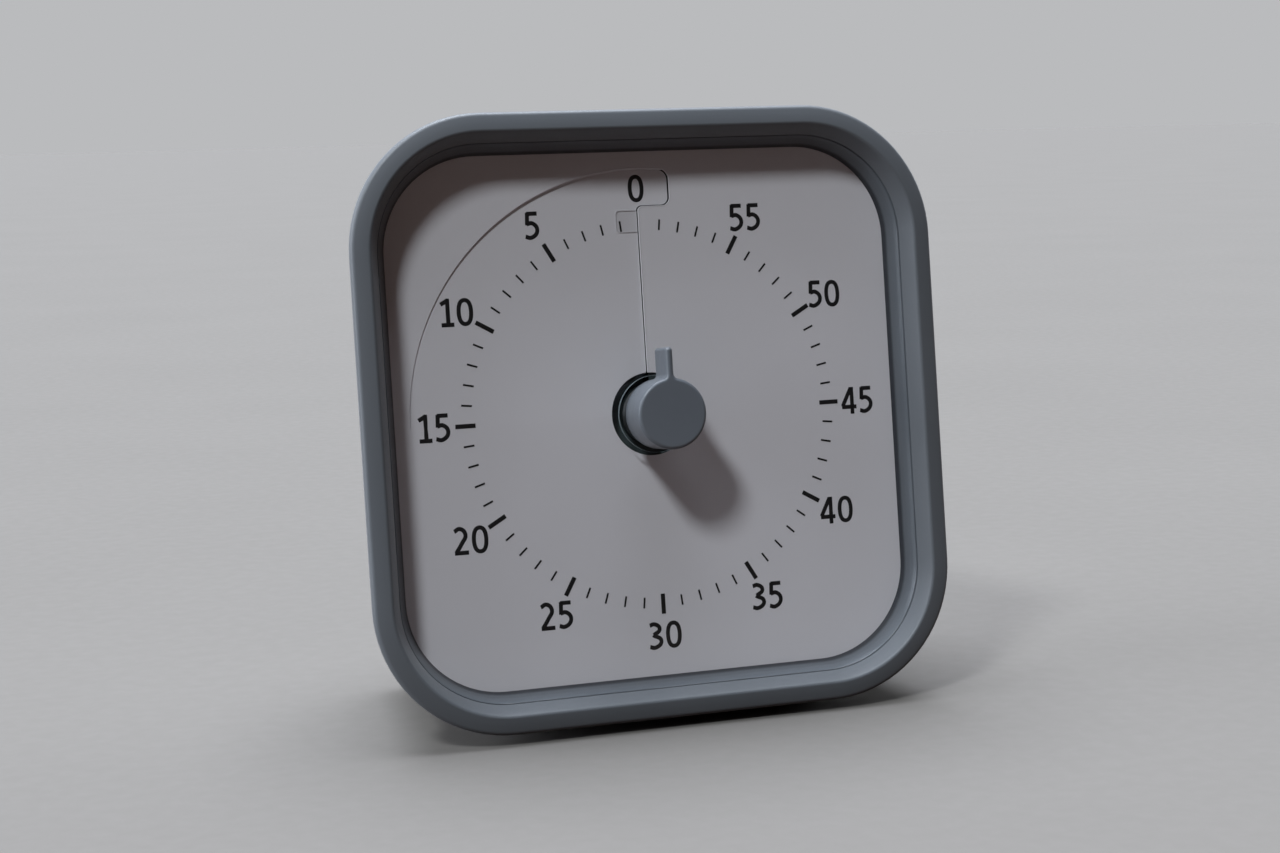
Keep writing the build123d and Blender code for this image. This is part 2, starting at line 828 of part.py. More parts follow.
def clutch_spring():
    """Thin dished washer that presses the centre wheel so that the knob can slip."""
    low = clip_levels()[1] + clip_fit
    high = train_front - wheel_wall - clip_fit
    inner = shaft_r + 2 * running_gap
    outer = shaft_r + dish_reach
    cone = make_face(Polyline((inner, low), (inner + dish_band, low), (outer, high - dish_wall),
                              (outer, high), (outer - dish_band, high), (inner, low + dish_wall),
                              close=True))
    return revolve(Plane.XZ * cone, Axis.Z, 360)


# ---------------------------------------------------------------- chassis and movement

def chassis_plate():
    """Plate behind the dial that carries the movement and the circuit board."""
    pilot_r = small_screw_r + small_thread_fit
    pilot_end = -chassis_front - blind_wall
    body = plate(room_x(chassis_back) - chassis_gap, chassis_back, -chassis_front)
    for x, y in post_places():
        body -= disc(post_r + post_clear, chassis_back - past, 0, x, y)
        body -= post_rib(x, y, chassis_back - past, 0, rib_wall + 2 * rib_clear)
    body -= disc(bush_r + bush_hole_gap, chassis_back - past, 0)
    for x, y in lug_places():
        body -= disc(small_screw_r + small_screw_clear, chassis_back - past, 0, x, y)
    for x, y in movement_post_places():
        body -= disc(pilot_r, chassis_back - past, pilot_end, x, y)
    foot = chassis_back - board_clear
    for x, y in board_screw_places():
        body += disc(standoff_r, foot, chassis_back + sink, x, y)
        body -= disc(pilot_r, foot - past, pilot_end, x, y)
    return body


def movement_post_places():
    """Centres of the four screw posts in the movement's corners."""
    inset = movement_wall + movement_post_inset
    xs = (inset - movement_left, movement_right - inset)
    ys = (inset - movement_bottom, movement_top - inset)
    return [(x, y) for x in xs for y in ys]


def movement_block(low, high, inset, radius):
    return block(inset - movement_left, movement_right - inset, inset - movement_bottom,
                 movement_top - inset, low, high, radius)


def movement_tray(low, high, room_low, room_high):
    """Half of the movement's case: a block, hollowed between two depths."""
    tray = movement_block(low, high, 0, movement_round)
    return tray - movement_block(room_low, room_high, movement_wall, movement_inner_r)


def movement_front_case():
    """Front tray of the movement: shaft bush seat, pivot holes and posts."""
    split = chassis_back - movement_split
    inner = chassis_back - movement_wall
    tray = movement_tray(split, chassis_back, split - past, inner)
    for x, y in movement_post_places():
        tray += disc(movement_post_r, split, inner + sink, x, y)
        tray -= disc(small_screw_r + small_screw_clear, split - past, chassis_back + past, x, y)
    tray -= disc(bush_r + bush_fit, inner - past, chassis_back + past)
    for x, y in arbor_places():
        tray -= disc(pivot_r + running_gap, inner - past, inner + pivot_hole, x, y)
    return tray


def movement_rear_case():
    """Rear tray of the movement, with countersunk screw seats."""
    split = chassis_back - movement_split - tray_gap
    inner = movement_rear + movement_wall
    tray = movement_tray(movement_rear, split, inner, split + past)
    seat = movement_rear + small_head_height
    for x, y in movement_post_places():
        tray += disc(movement_post_r, inner - sink, split, x, y)
        tray -= disc(small_screw_r + small_screw_clear, movement_rear - past, split + past, x, y)
        tray -= disc(small_head_r + head_clear, movement_rear - past, seat, x, y)
    for x, y in arbor_places():
        tray -= disc(pivot_r + running_gap, inner - pivot_hole, inner + past, x, y)
    return tray


def shaft_bush():
    """Brass bush that the knob's shaft turns in."""
    rear_end = train_front + pinion_overlap
    return tube(bush_r, shaft_r + running_gap, rear_end, bush_proud - chassis_front)


def arbor_places():
    """Plan positions of the third, intermediate and rotor arbors, stepping from the centre."""
    steps = (
        (third_bearing, centre_teeth + pinion_teeth),
        (intermediate_bearing, third_teeth + pinion_teeth),
        (rotor_bearing, intermediate_teeth + pinion_teeth),
    )
    places, x, y = [], 0.0, 0.0
    for bearing, teeth in steps:
        distance = module * teeth / 2
        x += distance * cos(radians(bearing))
        y += distance * sin(radians(bearing))
        places.append((x, y))
    return places


def mesh_phase(bearing, driver_teeth, teeth):
    """Phase that puts a gap of this gear opposite a tooth of its neighbour."""
    turns = bearing * driver_teeth / 360 % 1
    return bearing + 180 - (0.5 - turns) * 360 / teeth


def pinion_phases():
    """Pinion phases of the third wheel, the intermediate wheel and the rotor."""
    return (
        mesh_phase(third_bearing, centre_teeth, pinion_teeth),
        mesh_phase(intermediate_bearing, third_teeth, pinion_teeth),
        mesh_phase(rotor_bearing, intermediate_teeth, pinion_teeth),
    )


def level(number):
    """Front face of a wheel on a level of the train, counted from the dial."""
    return train_front - number * level_pitch


def arbor():
    """Steel arbor with a pivot at each end."""
    front = chassis_back - movement_wall + pivot_length
    back = movement_rear + movement_wall - pivot_length
    return disc(arbor_r, back + pivot_shoulder, front - pivot_shoulder) + disc(pivot_r, back, front)


def centre_wheel():
    """Minute wheel, gripped by the clutch spring and free on the knob's shaft."""
    wheel = gear(centre_teeth, wheel_wall, wheel_tooth)
    wheel -= windows(centre_window_ring, 6, centre_window_r)
    wheel -= disc(shaft_r + running_gap, -past, wheel_wall + past)
    return Pos(0, 0, level(0) - wheel_wall) * wheel


def train_wheel(place, teeth, wheel_level, pinion_phase):
    """Wheel, pinion and arbor in one piece; the pinion meshes one level nearer the dial."""
    front = level(wheel_level)
    wheel = gear(teeth, wheel_wall, wheel_tooth) - windows(train_window_ring, 5, train_window_r)
    pinion = gear(pinion_teeth, sink + level_pitch + pinion_overlap, pinion_tooth, pinion_phase)
    body = Pos(0, 0, front - wheel_wall) * wheel + Pos(0, 0, front - sink) * pinion + arbor()
    return Pos(*place) * body


def third_wheel():
    return train_wheel(arbor_places()[0], third_teeth, 1, pinion_phases()[0])


def intermediate_wheel():
    return train_wheel(arbor_places()[1], intermediate_teeth, 2, pinion_phases()[1])


def rotor():
    """Magnet rotor of the stepping motor, with its pinion."""
    magnet = disc(rotor_magnet_r, level(1) - wheel_wall - magnet_set_back, level(0) - magnet_set_back)
    pinion = gear(pinion_teeth, wheel_wall + 2 * pinion_overlap, pinion_tooth, pinion_phases()[2])
    pinion = Pos(0, 0, level(2) - wheel_wall - pinion_overlap) * pinion
    return Pos(*arbor_places()[2]) * (magnet + pinion + arbor())


def stator_levels():
    """Back and front of the stator plate."""
    front = level(1) + stator_lift
    return front - stator_wall, front


def coil_centre():
    """Centre of the coil, beside the rotor and behind the stator."""
    x, y = arbor_places()[2]
    reach = rotor_magnet_r + stator_gap + coil_gap + coil_r
    return x + reach, y, stator_levels()[0] - stator_wall / 2


def stator():
    """Soft-iron plate round the rotor, reaching past both ends of the coil."""
    x, y = arbor_places()[2]
    low, high = stator_levels()
    ring_r = rotor_magnet_r + stator_gap
    left = x - stator_width / 2 - coil_gap
    bar = block(left, x + ring_r, y - stator_half_height, y + stator_half_height, low, high)
    arm_right = coil_centre()[0] + core_width / 2
    arm_half = (stator_half_height - coil_length / 2 - stator_arm_gap) / 2
    for side in (-1, 1):
        middle = y + side * (stator_half_height - arm_half)
        bar += block(left, arm_right, middle - arm_half, middle + arm_half, low, high)
    bar -= disc(ring_r, low - past, high + past, x, y)
    return bar - block(x + rotor_magnet_r, x + ring_r + past, y - stator_slot / 2,
                       y + stator_slot / 2, low - past, high + past)


def coil_core():
    x, y, z = coil_centre()
    return pad(x, y, core_width / 2, stator_half_height, z - stator_wall / 2, z + stator_wall / 2)


def coil_bobbin():
    """Plastic bobbin: a tube on the core with a round cheek at each end."""
    shift = (coil_length - bobbin_cheek) / 2
    cheek = Cylinder(coil_r, bobbin_cheek)
    body = Cylinder(bobbin_tube_r, coil_length) + Pos(0, 0, shift) * cheek + Pos(0, 0, -shift) * cheek
    bore = Box(core_width + 2 * core_fit, coil_length + past, stator_wall + 2 * core_fit)
    return Pos(*coil_centre()) * (Rot(90, 0, 0) * body - bore)


def coil_winding():
    length = coil_length - 2 * bobbin_cheek - 2 * winding_gap
    winding = Cylinder(coil_r - winding_below, length) - Cylinder(bobbin_tube_r + winding_gap, coil_length)
    return Pos(*coil_centre()) * Rot(90, 0, 0) * winding


# ---------------------------------------------------------------- electrics

def board_levels():
    front = chassis_back - board_clear
    return front - board_wall, front


def board_screw_places():
    """Centres of the two screws that hold the circuit board."""
    x = board_left + board_width / 2
    low, high = board_bottom + board_screw_inset, board_bottom + board_height - board_screw_inset
    return [(x, low), (x, high)]


def circuit_board():
    low, high = board_levels()
    board = block(board_left, board_left + board_width, board_bottom, board_bottom + board_height,
                  low, high, board_round)
    for x, y in board_screw_places():
        board -= disc(small_screw_r + small_screw_clear, low - past, high + past, x, y)
    return board


def control_chip():
    """Timer chip: a moulded body and two rows of leads."""
    low = board_levels()[0]
    x, y = board_left + board_width / 2, board_bottom + chip_up
    top = low - chip_lift
    chip = pad(x, y, chip_half_width, chip_half_length, top - chip_height, top)
    for lead in range(chip_leads):
        spot = y + lead_pitch * (lead - (chip_leads - 1) / 2)
        chip += pad(x, spot, lead_half_span, lead_half_width, low - lead_height, low)
    return chip


def quartz_crystal():
    """Crystal can lying on the board, with its two leads."""
    low = board_levels()[0]
    x, y = board_left + crystal_right, board_bottom + crystal_up
    axis = low - crystal_r - crystal_lift
    can = Pos(x, y, axis) * Rot(90, 0, 0) * Cylinder(crystal_r, crystal_length)
    end = y - crystal_length / 2 - crystal_lead
    for side in (-crystal_lead_spread, crystal_lead_spread):
        left, right = x + side - wire_half, x + side + wire_half
        can += block(left, right, end, y, axis - wire_half, axis + wire_half)
        can += block(left, right, end, end + 2 * wire_half, axis - wire_half, low)
    return can


def capacitor():
    low = board_levels()[0]
    x, y = board_left + capacitor_right, board_bottom + capacitor_up
    top = low - capacitor_lift
    can = disc(capacitor_r, top - capacitor_height, top, x, y)
    can = fillet(can.edges().sort_by(Axis.Z)[0], capacitor_edge_r)
    for side in (-capacitor_lead_spread, capacitor_lead_spread):
        can += disc(capacitor_lead_r, top - sink, low, x + side, y)
    return can


def along_x(shape, middle):
    """Turn a shape's Z axis along X, on the battery's centre line."""
    return Pos(middle, battery_y, battery_z) * Rot(0, 90, 0) * shape


def aa_battery():
    body = Cylinder(battery_r, battery_body)
    body = fillet(body.edges().filter_by(GeomType.CIRCLE), battery_edge_r)
    nub = Cylinder(battery_nub_r, battery_nub + past)
    middle = battery_end - battery_body / 2
    return along_x(body, middle) + along_x(nub, battery_left + (battery_nub + past) / 2)


def contact(left):
    """Square plate in one end of the battery bay."""
    return block(left, left + contact_wall, battery_y - contact_half, battery_y + contact_half,
                 battery_z - contact_half, battery_z + contact_half)


def positive_contact():
    """Nickel-plated plate with a pressed button that meets the battery's nub."""
    foot = -bay_half_length + contact_wall / 2
    height = battery_left - foot
    button = Cone(button_foot_r, button_top_r, height)
    return contact(-bay_half_length) + along_x(button, foot + height / 2)


def negative_contact():
    """Plate at the battery's flat end that carries the spring."""
    return contact(bay_half_length - contact_wall)


def battery_spring():
    """Coil spring between the plate and the battery's flat end."""
    right = bay_half_length - contact_wall - spring_wire_r
    left = battery_end + spring_wire_r
    path = Edge.make_helix((right - left) / spring_turns, right - left, spring_r)
    wire = Plane(path @ 0, z_dir=path % 0) * Circle(spring_wire_r)
    return along_x(sweep(wire, path, is_frenet=True), left)


def buzzer_disc():
    """Brass disc of the piezo buzzer, on the rim of its chamber."""
    low = inner_rear + chamber_height
    return disc(buzzer_r, low, low + buzzer_wall, buzzer_x, buzzer_y)


def buzzer_ceramic():
    low = inner_rear + chamber_height + buzzer_wall
    return disc(ceramic_share * buzzer_r, low, low + ceramic_wall, buzzer_x, buzzer_y)


def slider_half():
    """Half-length of the slider's plate inside the switch body."""
    return switch_length / 2 - switch_wall - switch_travel / 2 - switch_gap


def switch_body():
    """Slide switch housing behind the back wall, open towards it."""
    middle = switch_x + switch_travel / 2
    body = pad(middle, switch_y, switch_length / 2, switch_width / 2, inner_rear,
               inner_rear + switch_height, switch_round)
    return body - pad(middle, switch_y, slider_half() + switch_travel / 2 + switch_gap,
                      switch_width / 2 - switch_wall, inner_rear - past, inner_rear + switch_pocket)


def alert_switch():
    """Sliding stem of the switch, with grip ribs on its outer face."""
    low = inner_rear + slider_back_gap
    proud = case_rear - slider_proud
    half = slider_stem / 2
    slider = pad(switch_x, switch_y, slider_half(), switch_width / 2 - switch_wall - switch_gap,
                 low, low + slider_wall)
    slider += pad(switch_x, switch_y, half, half, proud, low + sink, slider_round)
    for side in (-1, 0, 1):
        slider -= pad(switch_x + side * slider_grip_pitch, switch_y, slider_grip / 2, half + past,
                      proud - past, proud + slider_grip)
    return slider


# ---------------------------------------------------------------- fasteners

def group(body, places, seat):
    """Separate copies of one screw in one node."""
    screws = [Pos(x, y, seat) * body for x, y in places]
    return Compound(children=[Solid(piece.solids()[0].wrapped) for piece in screws])


def case_screws():
    """Four screws from the wells in the back case into the front case's posts."""
    body = Rot(180, 0, 0) * screw(screw_r, screw_length, screw_head_r, screw_head_height)
    return group(body, post_places(), screw_seat)


def chassis_screws():
    """Four screws that hold the chassis plate to the front case's lugs."""
    return group(small_screw(chassis_wall + lug_wall - screw_short), lug_places(), chassis_back)


def movement_screws():
    """Four screws through the movement into the chassis plate."""
    length = movement_depth - small_head_height + chassis_wall - screw_short
    body = small_screw(length, small_head_height - head_clear)
    return group(body, movement_post_places(), movement_rear + small_head_height)


def board_screws():
    """Two screws that hold the circuit board to the chassis plate."""
    length = board_wall + board_clear + chassis_wall - screw_short
    return group(small_screw(length), board_screw_places(), board_levels()[0])


NODES = (
    silicone_cover, bezel, spacer_ring, lens, front_case, back_case, battery_door,
    dial_face, disk_film, disk_tab, disk_hub, knob, knob_shaft, shaft_clip, clutch_spring,
    chassis_plate, movement_front_case, movement_rear_case, shaft_bush,
    centre_wheel, third_wheel, intermediate_wheel, rotor,
    stator, coil_core, coil_bobbin, coil_winding,
    circuit_board, control_chip, quartz_crystal, capacitor,
    aa_battery, positive_contact, negative_contact, battery_spring,
    buzzer_disc, buzzer_ceramic, switch_body, alert_switch,
    case_screws, chassis_screws, movement_screws, board_screws,
)


def main():
    os.makedirs("parts", exist_ok=True)
    for make in NODES:
        export_step(stand * make(), f"parts/{make.__name__}.step")


if __name__ == "__main__":
    main()
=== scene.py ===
import json
from math import atan2, cos, degrees, hypot, pi, radians, sin, tan

import bmesh
import bpy
from mathutils import Matrix, Quaternion, Vector


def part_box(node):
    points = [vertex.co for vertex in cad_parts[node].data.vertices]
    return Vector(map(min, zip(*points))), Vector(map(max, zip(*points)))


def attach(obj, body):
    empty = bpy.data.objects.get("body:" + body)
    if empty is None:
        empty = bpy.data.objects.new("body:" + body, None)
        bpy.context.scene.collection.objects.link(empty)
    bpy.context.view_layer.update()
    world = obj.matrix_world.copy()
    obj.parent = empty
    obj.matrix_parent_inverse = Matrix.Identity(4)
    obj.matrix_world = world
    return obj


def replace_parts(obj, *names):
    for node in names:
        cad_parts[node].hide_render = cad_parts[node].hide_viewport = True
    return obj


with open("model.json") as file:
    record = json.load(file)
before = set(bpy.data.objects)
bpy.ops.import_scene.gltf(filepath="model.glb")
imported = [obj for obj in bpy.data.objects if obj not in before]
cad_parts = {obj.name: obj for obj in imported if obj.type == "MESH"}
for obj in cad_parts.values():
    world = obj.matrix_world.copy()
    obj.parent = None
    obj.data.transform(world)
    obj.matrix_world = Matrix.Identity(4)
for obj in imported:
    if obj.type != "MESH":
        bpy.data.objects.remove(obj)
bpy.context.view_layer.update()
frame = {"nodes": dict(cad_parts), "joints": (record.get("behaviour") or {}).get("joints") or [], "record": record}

# Looks of a visual countdown timer: a soft silicone sleeve, a printed dial under a clear lens,
# and the finish of every moulded, turned and stamped part behind them.
#
# Pieces are drawn in the dial frame in millimetres: X right, Y up in the dial's plane, Z out of
# the dial, origin at the middle of the dial's face. One matrix then stands them up in metres.

# ---------------------------------------------------------------- sizes, millimetres

half_width = 44.5            # over the sleeve's lip
centre_x = 24.7              # centre shared by every corner arc
centre_y = 24.95
draft = tan(radians(8))      # side walls close towards the back
corner_steps = 20            # facets of each corner

lip_crest = 5.8
lip_slope = 1.4              # how far the lip's inner slope runs
lip_slope_round = 0.5
lip_shoulder = 0.52          # the lip's outer corner, below its crest
lip_shoulder_round = 0.8
lip_heel = 2.0               # where the lip turns in to the wall, below its crest
lip_heel_round = 1.2
wall_x = 43.0                # half-width of the wall under the lip
wall_z = 2.0
wall_step = 0.05
wall_round = 1.0
rear = -34.7
rear_round = 2.0
back_lip_width = 3.6
back_lip_wall = 1.35
back_lip_round = 0.4
cover_gap = 1.5              # sleeve's outer to inner face
seat_gap = 0.05              # between the sleeve and the bezel's front

window = 38.8
bezel_edge = 40.2
bezel_rise = 3.1
bezel_round = 0.25
cover_fit = 0.1              # play between the bezel and the sleeve over it
lens_fit = 0.05              # play round the lens's edge
lens_back = 1.66
lens_half = 40.466
face_wall = 0.25
joint_gap = 0.06             # open joint between bezel and sleeve
joint_depth = 0.15
joint_round = 0.05
foot_shade_heights = (0.6, 1.1)       # heights over the dial between which the painted shade at the spacer's foot fades

foot_half = 25.0
foot_front = -1.5
foot_rear = -33.2
foot_round = 2.5
lean = radians(7)
dial_height = 45.4437

flap_r = 36.4                # arc of the dial's ramped flap
flap_drop = 0.47             # how deep the flap lies at the slit
slit_x = 0.375               # the flap's edge at the slit
zero_tab_right = 4.7
zero_tab_foot = 31.07
face_hole_r = 6.18

cut = 0.23                   # width of the cut round the flap
cut_foot_round = 0.65        # where the slit turns to the foot of the tab that holds the 0
cut_side_round = 1.33        # from the tab's foot up its side
cut_top_round = 1.66         # from the tab's side into the long arc
cut_top_y = 34.82            # middle of that last rounding
cut_top_turns = (84.6, 84.7)         # degrees: end of the rounding, start of the long arc
lit_arc_end = 102            # degrees: how far along the arc the standing bead runs
sunk_arc_turns = (84, 180)
sunk_arc_out = 0.075         # middle of the sunk bead outside the flap's arc
slit_bead_out = 0.015
slit_bead_top = 30.3
bead_foot = face_hole_r + 0.2
bead_r = 0.09
lit_bead_z = -0.5 * bead_r
sunk_bead_z = -2.3 * bead_r
slit_bead_z = -flap_drop - 0.05

knob_r = 5.175
knob_back = 3.5
knob_front = 10.3
knob_round = 0.5
knob_rim = 0.02              # level rim that keeps the shading of the flat front even
collar_round = 0.25
pointer_half = 0.525
pointer_reach = 9.65
pointer_back = 5.0
pointer_flare = 0.8          # hollow that leads from the grip into the pointer

minute_turn = radians(6)
major_tick = (28.4, 3.0, 0.65)       # radius of its middle, length, width
minor_tick = (28.2, 1.6, 0.28)
ink_wall = 0.02
ink_root = 0.01              # ink sunk into the sheet, so that no gap shows
numeral_r = 33.1
zero_place = (-0.2, 33.6)
numeral_height = 4.1
numeral_pen = 0.62
letter_gap = 0.11            # between two signs, as a share of their height

case_rear = -33.3
switch_middle = (15.5, 15.0)
switch_mark_height = 1.7
switch_mark_pen = 0.26
switch_mark_reach = 7.2      # middle of each word from the middle of the slot
switch_mark_wall = 0.15

battery_ring = 12.0          # pale ring of its wrap, from the positive end
battery_nub = 1.05
battery_base = 0.05          # bare metal at the negative end
wire_pitch = 0.3
wire_relief = 0.06
track_cell = 3.0             # how far apart the board's tracks turn
track_share = 0.08           # half a track's width, as a share of a cell

crease = radians(35)         # a sharper edge than this isn't shaded round
weld = 0.0005                # points closer than this are one
fine_weld = 0.00001          # the same for print, beads and the knob
near = 0.001                 # as good as touching


# ---------------------------------------------------------------- frame of the dial

knob_turn = next(joint for joint in frame["joints"] if joint["name"] == "knob_turn")
dial_middle = Vector(knob_turn["pos_m"])
out = Vector(knob_turn["axis"]).normalized()
right = Vector((1, 0, 0))
up = out.cross(right)
stand = Matrix.Translation(dial_middle) @ Matrix((right, up, out)).transposed().to_4x4()
in_dial = stand @ Matrix.Scale(0.001, 4)


def finish_piece(name, bm, body, slot, merge=weld):
    """Turn a bmesh in dial millimetres into a piece that rides on a body."""
    bmesh.ops.remove_doubles(bm, verts=bm.verts, dist=merge)
    bmesh.ops.recalc_face_normals(bm, faces=bm.faces)
    bmesh.ops.transform(bm, matrix=in_dial, verts=bm.verts)
    mesh = bpy.data.meshes.new(name)
    bm.to_mesh(mesh)
    bm.free()
    mesh.shade_smooth()
    mesh.set_sharp_from_angle(angle=crease)
    piece = bpy.data.objects.new(name, mesh)
    bpy.context.scene.collection.objects.link(piece)
    mesh.materials.append(materials[slot])
    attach(piece, body)
    return piece


# ---------------------------------------------------------------- nodes

def linear(code, alpha=1.0):
    """Linear colour of an sRGB hex code."""
    shares = [int(code[i:i + 2], 16) / 255 for i in (1, 3, 5)]
    return [s / 12.92 if s <= 0.04045 else ((s + 0.055) / 1.055) ** 2.4 for s in shares] + [alpha]


def add(tree, kind, inputs=None, **settings):
    """Add a node with its settings, and with inputs that are constants or other nodes' outputs."""
    new = tree.nodes.new("ShaderNode" + kind)
    for name, value in settings.items():
        setattr(new, name, value)
    for name, value in (inputs or {}).items():
        if isinstance(value, bpy.types.NodeSocket):
            tree.links.new(value, new.inputs[name])
        else:
            new.inputs[name].default_value = value
    return new


def per_mm(size):
    """Scale of a noise pattern whose features are about this many millimetres across."""
    return 1000 / size


def empty_material(name):
    """Material without nodes, and its tree."""
    material = bpy.data.materials.new(name)
    material.use_nodes = True
    material.node_tree.nodes.clear()
    return material, material.node_tree


def surface(name, tones, patch, gloss, grain, depth, stretch=(1, 1, 1), shader=None):
    """Material whose tone drifts between two colours over patches so many millimetres wide, and
    whose gloss drifts between two roughnesses with a grain of a width and a depth in mm."""
    material, tree = empty_material(name)
    place = add(tree, "TexCoord").outputs["Object"]
    if stretch != (1, 1, 1):
        place = add(tree, "Mapping", {"Vector": place, "Scale": stretch}).outputs["Vector"]
    drift = add(tree, "TexNoise", {"Vector": place, "Scale": per_mm(patch), "Detail": 3})
    tone = add(tree, "ValToRGB", {"Fac": drift.outputs["Fac"]})
    low, high = tone.color_ramp.elements
    low.position, low.color = 0.3, linear(tones[0])
    high.position, high.color = 0.7, linear(tones[1])
    bits = add(tree, "TexNoise", {"Vector": place, "Scale": per_mm(grain), "Detail": 2})
    rough = add(tree, "MapRange", {"Value": bits.outputs["Fac"], "From Min": 0.3,
                                   "From Max": 0.7, "To Min": gloss[0], "To Max": gloss[1]})
    bump = add(tree, "Bump", {"Height": bits.outputs["Fac"], "Strength": 1.0,
                              "Distance": depth / 1000})
    skin = add(tree, "BsdfPrincipled", {"Base Color": tone.outputs["Color"],
                                        "Roughness": rough.outputs["Result"],
                                        "Normal": bump.outputs["Normal"], **(shader or {})})
    add(tree, "OutputMaterial", {"Surface": skin.outputs["BSDF"]})
    return material


def node(material, kind):
    """The material's first node of a kind."""
    return next(n for n in material.node_tree.nodes if n.bl_idname == "ShaderNode" + kind)


def cut_edge(tree):
    """Share that is 1 on a sheet's cut edges and 0 on its faces, by how far they turn aside."""
    normal = add(tree, "NewGeometry").outputs["Normal"]
    facing = add(tree, "VectorMath", {0: normal, 1: out}, operation="DOT_PRODUCT")
    flat = add(tree, "Math", {0: facing.outputs["Value"]}, operation="ABSOLUTE")
    share = add(tree, "MapRange", {"Value": flat.outputs[0], "From Min": 0.5, "From Max": 0.8,
                                   "To Min": 1.0, "To Max": 0.0})
    return share.outputs["Result"]


def clear_pane(name, edge_tone, gloss, ripple, ripple_depth):
    """Clear sheet: what is behind shows through, its surface mirrors more at a slant, and its
    cut edges are frosted and catch the light. Its ripple has a width and a depth in mm."""
    material, tree = empty_material(name)
    place = add(tree, "TexCoord").outputs["Object"]
    waves = add(tree, "TexNoise", {"Vector": place, "Scale": per_mm(ripple), "Detail": 1})
    bump = add(tree, "Bump", {"Height": waves.outputs["Fac"], "Distance": ripple_depth / 1000})
    slant = add(tree, "Fresnel", {"IOR": 1.49, "Normal": bump.outputs["Normal"]})
    outside = add(tree, "Math", {0: 1.0, 1: add(tree, "NewGeometry").outputs["Backfacing"]},
                  operation="SUBTRACT")
    mirror = add(tree, "Math", {0: slant.outputs["Fac"], 1: outside.outputs[0]},
                 operation="MULTIPLY")
    through = add(tree, "BsdfTransparent", {"Color": linear("#fefefe")})
    shine = add(tree, "BsdfGlossy", {"Color": linear("#ffffff"), "Roughness": gloss,
                                     "Normal": bump.outputs["Normal"]})
    pane = add(tree, "MixShader", {0: mirror.outputs[0], 1: through.outputs["BSDF"],
                                   2: shine.outputs["BSDF"]})
    frosted = add(tree, "BsdfPrincipled", {"Base Color": linear(edge_tone), "Roughness": 0.35})
    sheet = add(tree, "MixShader", {0: cut_edge(tree), 1: pane.outputs["Shader"],
                                    2: frosted.outputs["BSDF"]})
    add(tree, "OutputMaterial", {"Surface": sheet.outputs["Shader"]})
    return material


# ---------------------------------------------------------------- materials

for imported in list(bpy.data.materials):
    bpy.data.materials.remove(imported)
materials = {}


def keep(material):
    """Put a material where pieces find it by their slot."""
    materials[material.name] = material
    return material


# Silicone rubber, moulded in a blasted tool: soft, matt, with a broad hazy shine on its curves.
keep(surface("sleeve_silicone", ("#61666b", "#64696e"), 14, (0.42, 0.50), 0.35, 0.004,
             shader={"Sheen Weight": 0.2, "Sheen Roughness": 0.4}))

# Injection-moulded ABS in a polished tool: even colour and a smooth, fairly sharp shine.
keep(surface("bezel_abs", ("#5b6167", "#5f656b"), 20, (0.28, 0.29), 2.5, 0.0002))

# The same ABS in a spark-eroded tool: a fine even grain that scatters the light.
keep(surface("case_abs", ("#5f656b", "#646a70"), 18, (0.46, 0.60), 0.40, 0.014))

# Cast acrylic: clear, hard and smooth, with the faintest waviness.
keep(clear_pane("lens_acrylic", "#6f7c80", 0.03, 12, 0.004))

# Polypropylene sheet, matt on its printed side: off-white and very even.
keep(surface("dial_sheet", ("#dfdee2", "#e3e2e6"), 25, (0.48, 0.58), 0.5, 0.003,
             shader={"Specular IOR Level": 0.4}))

# PVC film with a pigment all through: flat colour, a low leathery shine.
keep(surface("disk_sheet", ("#3b4647", "#404b4c"), 15, (0.40, 0.50), 0.6, 0.004))

# Clear polyester film: a little more haze and waviness than the lens.
keep(clear_pane("tab_film", "#c2c6c9", 0.10, 3, 0.010))

# ABS in a fine satin tool: smooth to the touch, a soft shine at the edges.
keep(surface("knob_abs", ("#666c73", "#6a7077"), 10, (0.30, 0.38), 0.8, 0.003))

# Acetal: dense and slightly waxy.
keep(surface("hub_pom", ("#22282a", "#272d2f"), 6, (0.30, 0.40), 0.6, 0.003))
keep(surface("wheel_pom", ("#dcd9cd", "#e2dfd4"), 6, (0.32, 0.42), 0.6, 0.003))

# Turned steel: fine rings round the shaft, with streaked gloss.
keep(surface("steel", ("#a9aaac", "#b9babb"), 3, (0.22, 0.34), 0.25, 0.002, (6, 1, 6),
             {"Metallic": 1.0}))

# Hard-rolled spring steel: bright, with a straight rolling grain.
keep(surface("spring_steel", ("#a2a5a9", "#b2b4b8"), 4, (0.18, 0.30), 0.25, 0.002, (0.2, 1, 1),
             {"Metallic": 1.0}))

# Zinc plate: bluish white and slightly cloudy.
keep(surface("zinc_screw", ("#adb2b4", "#c0c3c2"), 1.2, (0.28, 0.42), 0.3, 0.003,
             shader={"Metallic": 1.0}))

# Turned brass: warm yellow with darker handling patches.
keep(surface("brass", ("#b99a55", "#cfb06a"), 3, (0.24, 0.38), 0.3, 0.002,
             shader={"Metallic": 1.0}))

# Black ABS for parts that nobody sees: coarse grain, faded grey at its flow marks.
keep(surface("chassis_abs", ("#1d1f21", "#26282a"), 9, (0.45, 0.60), 0.5, 0.010))
keep(surface("movement_abs", ("#131415", "#1b1c1d"), 8, (0.35, 0.50), 0.4, 0.006))

# Sintered magnet: dull dark grey, open grain.
keep(surface("magnet", ("#3b3b3e", "#4a4a4d"), 1, (0.55, 0.75), 0.15, 0.010,
             shader={"Metallic": 0.6}))

# Stamped soft iron: grey, straight rolling marks.
keep(surface("soft_iron", ("#8b8c8e", "#9b9c9d"), 4, (0.30, 0.45), 0.3, 0.003, (1, 1, 0.2),
             {"Metallic": 1.0}))

